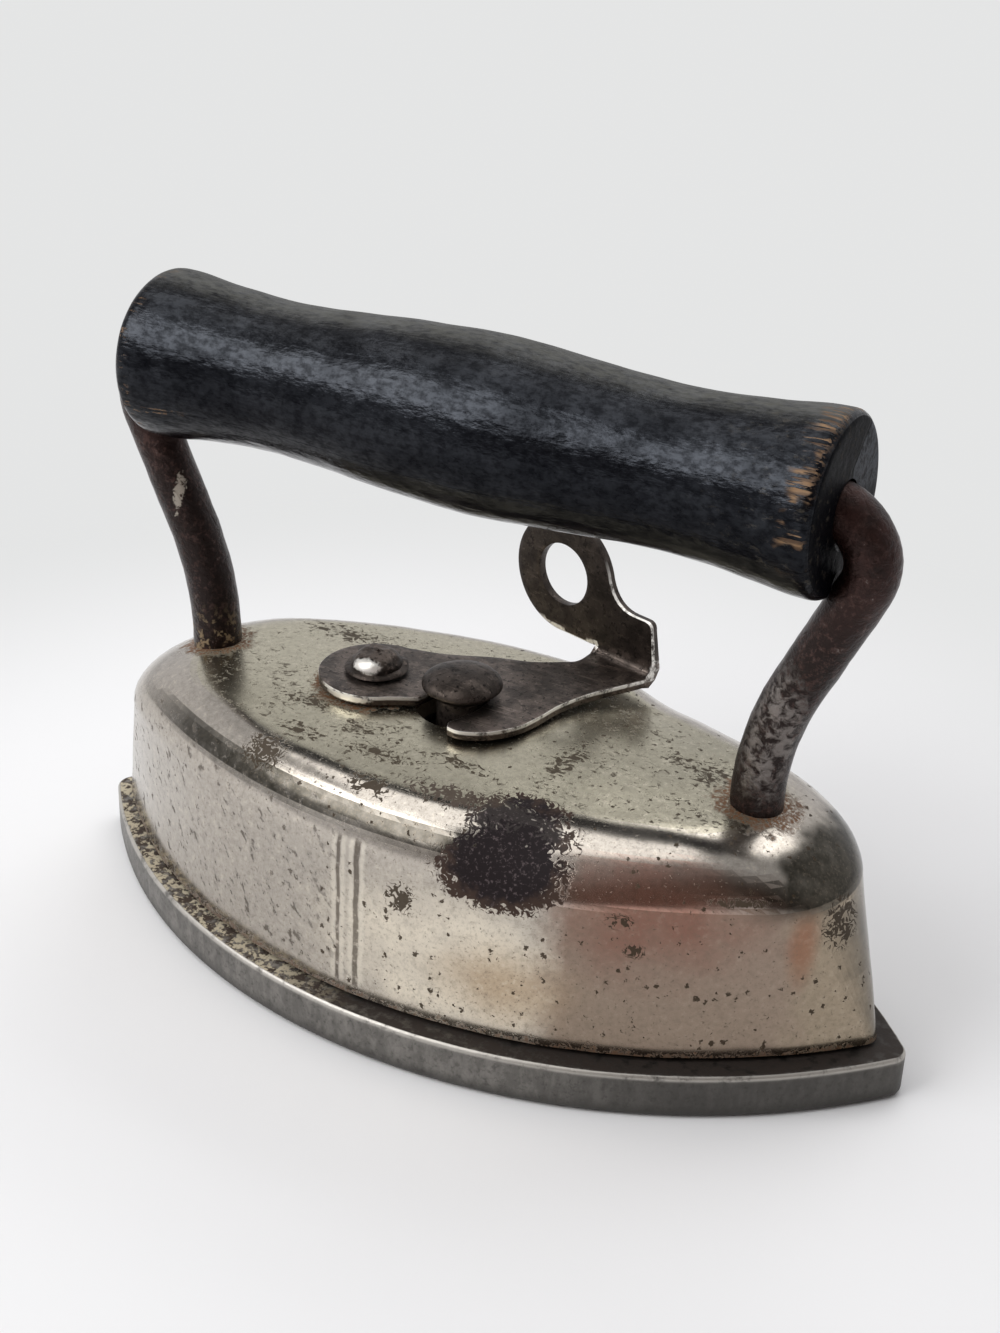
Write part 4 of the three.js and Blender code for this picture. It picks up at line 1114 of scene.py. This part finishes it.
def lever_blank(s):
    """Outline and holes of the lever's flat blank: X along the fold, Y across it from the pivot."""
    slot_half = 3.1 * MM
    inner, outer = s.pivot_to_stud - slot_half, s.pivot_to_stud + slot_half
    stud = -FOLD_ANGLE
    eye = arc_points(0, 0, 6.3 * MM, math.radians(103), math.radians(332), 48)
    slot_end = (s.pivot_to_stud * math.cos(stud), s.pivot_to_stud * math.sin(stud))
    fold_y = s.tab_reach - s.bend
    hook = [(0.666, -0.154), (0.74, -0.14), (0.835, -0.05), (0.897, 0.1), (0.9, 0.25)]
    hook += [(0.886, 0.42), (0.902, 0.6), (0.945, 0.76)]
    far = [(0.622, 0.86), (0.59, 0.795), (0.473, 0.665), (0.304, 0.552), (0.112, 0.393)]

    def place(shares):
        return [(x * s.fold_reach, y * s.tab_reach) for x, y in shares]

    plate = (
        eye
        + arc_points(0, 0, inner, math.radians(-8), stud, 10)
        + arc_points(*slot_end, slot_half, math.pi + stud, stud, 24)
        + arc_points(0, 0, outer, stud, math.radians(-12.5), 12)
        + catmull(place(hook) + [(s.fold_reach, fold_y)], 5)
    )
    far_edge = catmull([(s.fold_reach - s.fold_width, fold_y)] + place(far) + [eye[0]], 6)[:-1]

    rise = fold_y + QUARTER * (s.bend + s.sheet / 2)
    ring_x, ring_y, ring_radius = -13.7 * MM, 7.6 * MM - s.bend, 6.9 * MM
    height, lean, corner = 6.1 * MM - s.bend, 0.6 * MM, 1.0 * MM
    ring = arc_points(ring_x, ring_y, ring_radius, math.radians(12), math.radians(278), 64)
    neck = (ring[0][0] + corner, height)
    notch = ring_y - ring_radius
    tab = (
        [(0, 0)]
        + quadratic((-lean, height - corner), (-lean, height), (-lean - corner, height), 6)
        + quadratic((-0.375 * s.fold_width, height), neck, ring[0], 8)[:-1]
        + ring
        + quadratic((-s.fold_width - corner, notch), (-s.fold_width, notch), (-s.fold_width, 0), 8)
    )
    tab = [(s.fold_reach + x, rise + y) for x, y in tab]
    holes = [
        arc_points(0, 0, 1.75 * MM, 0, 2 * math.pi, 32),
        arc_points(s.fold_reach + ring_x, rise + ring_y, 3.6 * MM, 0, 2 * math.pi, 48),
    ]
    return plate + tab + far_edge, holes


def inside(point, outline):
    hit = False
    for (ax, ay), (bx, by) in zip(outline, outline[1:] + outline[:1]):
        if (ay > point[1]) != (by > point[1]) and point[0] < (bx - ax) * (point[1] - ay) / (by - ay) + ax:
            hit = not hit
    return hit


class SADIRON_OT_latch(bpy.types.Operator):
    """Cut the lever's blank from sheet, fold its tab up and round its edges"""

    bl_idname = "sadiron.latch"
    bl_label = "Latch lever"

    def execute(self, context):
        s = context.scene.sad_iron_latch
        outline, holes = lever_blank(s)
        loops = [outline, *holes]
        points = [Vector(p) for loop in loops for p in loop]
        edges, start = [], 0
        for loop in loops:
            edges += [(start + i, start + (i + 1) % len(loop)) for i in range(len(loop))]
            start += len(loop)
        grid = 0.55 * MM
        low_x, low_y = min(p.x for p in points), min(p.y for p in points)
        high_x, high_y = max(p.x for p in points), max(p.y for p in points)
        border = list(points)
        for i in range(1, int((high_x - low_x) / grid) + 1):
            for j in range(1, int((high_y - low_y) / grid) + 1):
                p = Vector((low_x + i * grid + (j % 2) * grid / 2, low_y + j * grid))
                if inside(p, outline) and not any(inside(p, hole) for hole in holes):
                    if min((p - q).length for q in border) > 0.35 * MM:
                        points.append(p)
        verts, _, faces, _, _, _ = geometry.delaunay_2d_cdt(points, edges, [], 0, 1e-7)
        kept = []
        for face in faces:
            middle = sum((verts[i] for i in face), Vector((0, 0))) / 3
            if inside(middle, outline) and not any(inside(middle, hole) for hole in holes):
                kept.append(tuple(face))
        bend_start, radius = s.tab_reach - s.bend, s.bend + s.sheet / 2
        arc = QUARTER * radius
        folded = []
        for v in verts:
            over = v.y - bend_start
            if over <= 0:
                folded.append((v.x, v.y, 0))
            elif over < arc:
                turn = over / radius
                folded.append((v.x, bend_start + radius * math.sin(turn), radius * (1 - math.cos(turn))))
            else:
                folded.append((v.x, bend_start + radius, radius + over - arc))
        lever = mesh_object("latch_plate", folded, kept)
        thick = lever.modifiers.new("Sheet", "SOLIDIFY")
        thick.thickness, thick.offset, thick.use_even_offset = s.sheet, 0.0, True
        round_edges = lever.modifiers.new("Edges", "BEVEL")
        round_edges.width, round_edges.segments = s.edge, 2
        round_edges.limit_method, round_edges.angle_limit = "ANGLE", math.radians(50)
        round_edges.use_clamp_overlap = True
        settle(lever)
        turn = Matrix.Rotation(FOLD_ANGLE, 4, "Z")
        seat = Matrix.Translation((PIVOT_X, 0, LEVER_LOW + s.sheet / 2))
        lever.data.transform(seat @ turn)
        displace(lever, 0.03 * MM, 4 * MM, 6, lambda v: Vector((0, 0, 1)))
        look = steel_material("dark_steel_lever", s, 80.0)
        finish_piece(lever, "latch", "latch_lever", material=look, slot="dark_steel")
        return {"FINISHED"}


def dome(radius, low, height, steps=14):
    turns = (QUARTER * i / steps for i in range(steps))
    return [(radius * math.cos(t), low + height * math.sin(t)) for t in turns] + [(0, low + height)]


class SADIRON_OT_rivets(bpy.types.Operator):
    """Turn the latch stud and the pivot rivet, with hammered heads"""

    bl_idname = "sadiron.rivets"
    bl_label = "Stud and pivot rivet"

    def execute(self, context):
        s = context.scene.sad_iron_latch
        head_low = LEVER_LOW + s.sheet + 0.25 * MM

        def hammered(vert):
            return vert.normal * (vert.co.z > head_low + 0.3 * MM)

        neck, head = 2.7 * MM, (STUD_HIGH.x - STUD_LOW.x) / 2
        rim_low, rim_high = head_low + 0.9 * MM, head_low + 1.2 * MM
        profile = [(0, STUD_LOW.z), (neck, STUD_LOW.z), (neck, head_low - 1.2 * MM), (neck, head_low)]
        profile += [(neck + 0.4 * MM, head_low + 0.02 * MM), (head - 0.12 * MM, rim_low)]
        profile += [(head, rim_low + 0.12 * MM)]
        profile += dome(head, rim_high, STUD_HIGH.z - rim_high)
        stud = revolve("latch_stud_turned", profile, 64, (STUD_X, 0, 0))
        displace(stud, 0.06 * MM, 2.5 * MM, 7, hammered)
        look = steel_material("dark_steel_stud", s, 90.0, level=0.60, dull=0.10, edges=0.0)
        finish_piece(stud, "core", "latch_stud", material=look, slot="dark_steel", sharp=60)

        neck, tail, head = 1.5 * MM, 2.2 * MM, (RIVET_HIGH.x - RIVET_LOW.x) / 2
        profile = [(0, RIVET_LOW.z), (neck, RIVET_LOW.z), (tail, WASHER_LOW - 0.55 * MM), (tail, WASHER_LOW)]
        profile += [(neck, WASHER_LOW), (neck, head_low), (head - 0.2 * MM, head_low)]
        profile += [(head, head_low + 0.15 * MM), (head - 0.12 * MM, head_low + 0.36 * MM)]
        profile += [(head - 0.5 * MM, head_low + 0.45 * MM)]
        profile += dome(head - 0.75 * MM, head_low + 0.5 * MM, RIVET_HIGH.z - head_low - 0.5 * MM)
        rivet = revolve("pivot_rivet_turned", profile, 56, (PIVOT_X, 0, 0))
        displace(rivet, 0.28 * MM, 1.9 * MM, 8, hammered)
        look = steel_material("dark_steel_rivet", s, 100.0, level=0.8, dull=0.12, edges=0.0)
        finish_piece(rivet, "hood", "pivot_rivet", material=look, slot="dark_steel", sharp=60)
        return {"FINISHED"}


class SADIRON_OT_inside(bpy.types.Operator):
    """Fit the lining and its plate under the hood's softer flanks, and finish them and the washers"""

    bl_idname = "sadiron.inside"
    bl_label = "Inner pieces"

    def execute(self, context):
        board, steel = board_material(), plain_steel_material()
        s = context.scene.sad_iron_hood
        form = skin_rings("form", hood_rings(s, s.sheet + 0.25 * MM))
        room = BVHTree.FromPolygons(*points_and_faces(form.data))
        bpy.data.objects.remove(form)
        for name, material, slot in (
            ("lining_pad", board, "lining_board"),
            ("lining_strip_far", board, "lining_board"),
            ("lining_strip_near", board, "lining_board"),
            ("retaining_plate", steel, "plain_steel"),
        ):
            self.fit(name, room, material, slot)
        for name in ("front_rod_washer", "rear_rod_washer", "pivot_washer"):
            for material_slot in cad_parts[name].material_slots:
                material_slot.material = steel
        return {"FINISHED"}

    def fit(self, name, room, material, slot):
        """Draws a copy of an inner piece in to where the hood's nested form leaves it room."""
        piece = mesh_object("fitted_" + name, *points_and_faces(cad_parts[name].data))
        for vert in piece.data.vertices:
            x, y, z = vert.co
            if abs(y) > MM:
                wall = room.ray_cast(Vector((x, 0, z)), Vector((0, math.copysign(1, y), 0)))[0]
                if wall and abs(wall.y) < abs(y):
                    vert.co.y = wall.y
        finish_piece(piece, "hood", name, material=material, slot=slot)


class SADIRON_OT_stage(bpy.types.Operator):
    """Set up the pale floor, the soft light and the camera"""

    bl_idname = "sadiron.stage"
    bl_label = "Stage"

    def execute(self, context):
        s = context.scene.sad_iron_stage
        scene = context.scene
        self.add_floor(context, s)
        self.add_world(scene, s)
        self.add_lamps(scene, s)
        self.add_camera(scene)
        scene.view_settings.view_transform = "Standard"
        return {"FINISHED"}

    def add_camera(self, scene):
        """The photograph's viewpoint: turned, raised and tilted about a target in the middle of the iron."""
        azimuth, elevation, roll = (math.radians(a) for a in (28.99, 27.30, 1.97))
        target, distance = Vector((-2.88, 8.97, 30.19)) * MM, 220.0 * MM
        focal_length, frame_height = 2000.2, 1333.0  # pixels of the photograph
        level = math.cos(elevation)
        back = Vector((math.sin(azimuth) * level, -math.cos(azimuth) * level, math.sin(elevation)))
        right = Vector((math.cos(azimuth), math.sin(azimuth), 0))
        up = back.cross(right)
        tilt, keep = math.sin(roll), math.cos(roll)
        right, up = right * keep + up * tilt, up * keep - right * tilt
        data = bpy.data.cameras.new("camera")
        data.sensor_width = 36.0
        data.lens = data.sensor_width * focal_length / frame_height
        data.clip_start, data.clip_end = 0.01, 20.0
        camera = bpy.data.objects.new("camera", data)
        camera.matrix_world = Matrix((right, up, back)).transposed().to_4x4()
        camera.location = target + back * distance
        scene.collection.objects.link(camera)
        scene.camera = camera

    def add_floor(self, context, s):
        """A flat floor that keeps the object's shadow and is evenly pale further out."""
        verts = [(x, y, 0.0) for x, y in ((-6, -6), (6, -6), (6, 6), (-6, 6))]
        mesh = bpy.data.meshes.new("floor")
        mesh.from_pydata(verts, [], [(0, 1, 2, 3)])
        floor = bpy.data.objects.new("floor", mesh)
        context.scene.collection.objects.link(floor)
        r = Recipe("pale_floor")
        r.surface(Base_Color=tuple(s.floor), Roughness=0.6)
        r.feed(r.shader.inputs["Specular IOR Level"], 0.2)
        away = r.step(r.vector("LENGTH", r.mm), 60.0, 130.0)
        glow = r.node("ShaderNodeEmission", Color=tuple(s.backdrop))
        mixed = r.tree.nodes.new("ShaderNodeMixShader")
        seen = r.node("ShaderNodeLightPath").outputs["Is Camera Ray"]
        r.feed(mixed.inputs[0], r.both(away, seen))
        r.tree.links.new(r.shader.outputs[0], mixed.inputs[1])
        r.tree.links.new(glow.outputs[0], mixed.inputs[2])
        r.tree.links.new(mixed.outputs[0], r.tree.nodes["Material Output"].inputs["Surface"])
        mesh.materials.append(r.material)

    def add_world(self, scene, s):
        """Light from above, a darker wall on the near side, and a pale backdrop for the camera."""
        world = bpy.data.worlds.new("soft_room")
        scene.world = world
        world.use_nodes = True
        tree = world.node_tree
        tree.nodes.clear()
        make, link = tree.nodes.new, tree.links.new

        def ramp(direction, stops):
            toward, band = make("ShaderNodeVectorMath"), make("ShaderNodeValToRGB")
            toward.operation = "DOT_PRODUCT"
            toward.inputs[1].default_value = direction
            link(place.outputs["Generated"], toward.inputs[0])
            link(toward.outputs["Value"], band.inputs[0])
            while len(band.color_ramp.elements) < len(stops):
                band.color_ramp.elements.new(0.5)
            for element, (position, tone) in zip(band.color_ramp.elements, stops):
                element.position, element.color = position, (*tone, 1)
            return band.outputs["Color"]

        place = make("ShaderNodeTexCoord")
        heights = ((0.0, 0.58), (0.25, 0.64), (0.50, 0.68), (0.62, 0.55), (0.80, 0.40))
        height = ramp((0, 0, 1), [(at, (level, level, level * 1.02)) for at, level in heights])
        front = ramp((0.58, -0.81, 0.05), ((0.35, (1, 1, 1)), (0.84, (0.21, 0.165, 0.145))))
        room, chosen = make("ShaderNodeMix"), make("ShaderNodeMix")
        room.data_type, room.blend_type = "RGBA", "MULTIPLY"
        room.inputs["Factor"].default_value = 1.0
        link(height, room.inputs[6])
        link(front, room.inputs[7])
        chosen.data_type = "RGBA"
        chosen.inputs[7].default_value = (*(c / s.sky for c in s.backdrop), 1)
        link(room.outputs[2], chosen.inputs[6])
        link(make("ShaderNodeLightPath").outputs["Is Camera Ray"], chosen.inputs["Factor"])
        background, out = make("ShaderNodeBackground"), make("ShaderNodeOutputWorld")
        background.inputs["Strength"].default_value = s.sky
        link(chosen.outputs[2], background.inputs["Color"])
        link(background.outputs[0], out.inputs["Surface"])

    def add_lamps(self, scene, s):
        for name, place, size, share_of_power in (
            ("window", (-0.30, -0.40, 0.41), (0.44, 0.34), 1.60),
            ("ceiling", (-0.12, -0.05, 0.55), (0.44, 0.42), 0.66),
            ("far_ceiling", (0.03, 0.34, 0.52), (0.40, 0.22), 0.50),
        ):
            data = bpy.data.lights.new(name, "AREA")
            data.shape, data.size, data.size_y = "RECTANGLE", *size
            data.energy = s.lamp * share_of_power
            lamp = bpy.data.objects.new(name, data)
            lamp.location = place
            aim = Vector((0, 0, 0.03)) - Vector(place)
            lamp.rotation_euler = aim.to_track_quat("-Z", "Y").to_euler()
            scene.collection.objects.link(lamp)


class SADIRON_PT_panel(bpy.types.Panel):
    """Lists the sizes, the colours and the steps that build the sad iron"""

    bl_label = "Sad Iron"
    bl_idname = "SADIRON_PT_panel"
    bl_space_type = "VIEW_3D"
    bl_region_type = "UI"
    bl_category = "Sad Iron"

    def draw(self, context):
        for name, (_, *steps) in GROUPS.items():
            box = self.layout.box()
            settings = getattr(context.scene, name)
            for key in settings.bl_rna.properties.keys():
                if key not in {"rna_type", "name"}:
                    box.prop(settings, key)
            for step in steps:
                box.operator(step.bl_idname)


GROUPS = {
    "sad_iron_core": (CoreSettings, SADIRON_OT_core),
    "sad_iron_hood": (HoodSettings, SADIRON_OT_hood, SADIRON_OT_inside),
    "sad_iron_handle": (HandleSettings, SADIRON_OT_rod, SADIRON_OT_grip),
    "sad_iron_latch": (LatchSettings, SADIRON_OT_latch, SADIRON_OT_rivets),
    "sad_iron_stage": (StageSettings, SADIRON_OT_stage),
}
CLASSES = (*(cls for group in GROUPS.values() for cls in group), SADIRON_PT_panel)


def register():
    for cls in CLASSES:
        bpy.utils.register_class(cls)
    for name, (settings, *_) in GROUPS.items():
        setattr(bpy.types.Scene, name, PointerProperty(type=settings))


def unregister():
    for name in GROUPS:
        delattr(bpy.types.Scene, name)
    for cls in reversed(CLASSES):
        bpy.utils.unregister_class(cls)


def main():
    register()
    bpy.ops.sadiron.stage()
    bpy.ops.sadiron.core()
    bpy.ops.sadiron.hood()
    bpy.ops.sadiron.inside()
    bpy.ops.sadiron.rod()
    bpy.ops.sadiron.grip()
    bpy.ops.sadiron.latch()
    bpy.ops.sadiron.rivets()


if __name__ == "__main__":
    main()
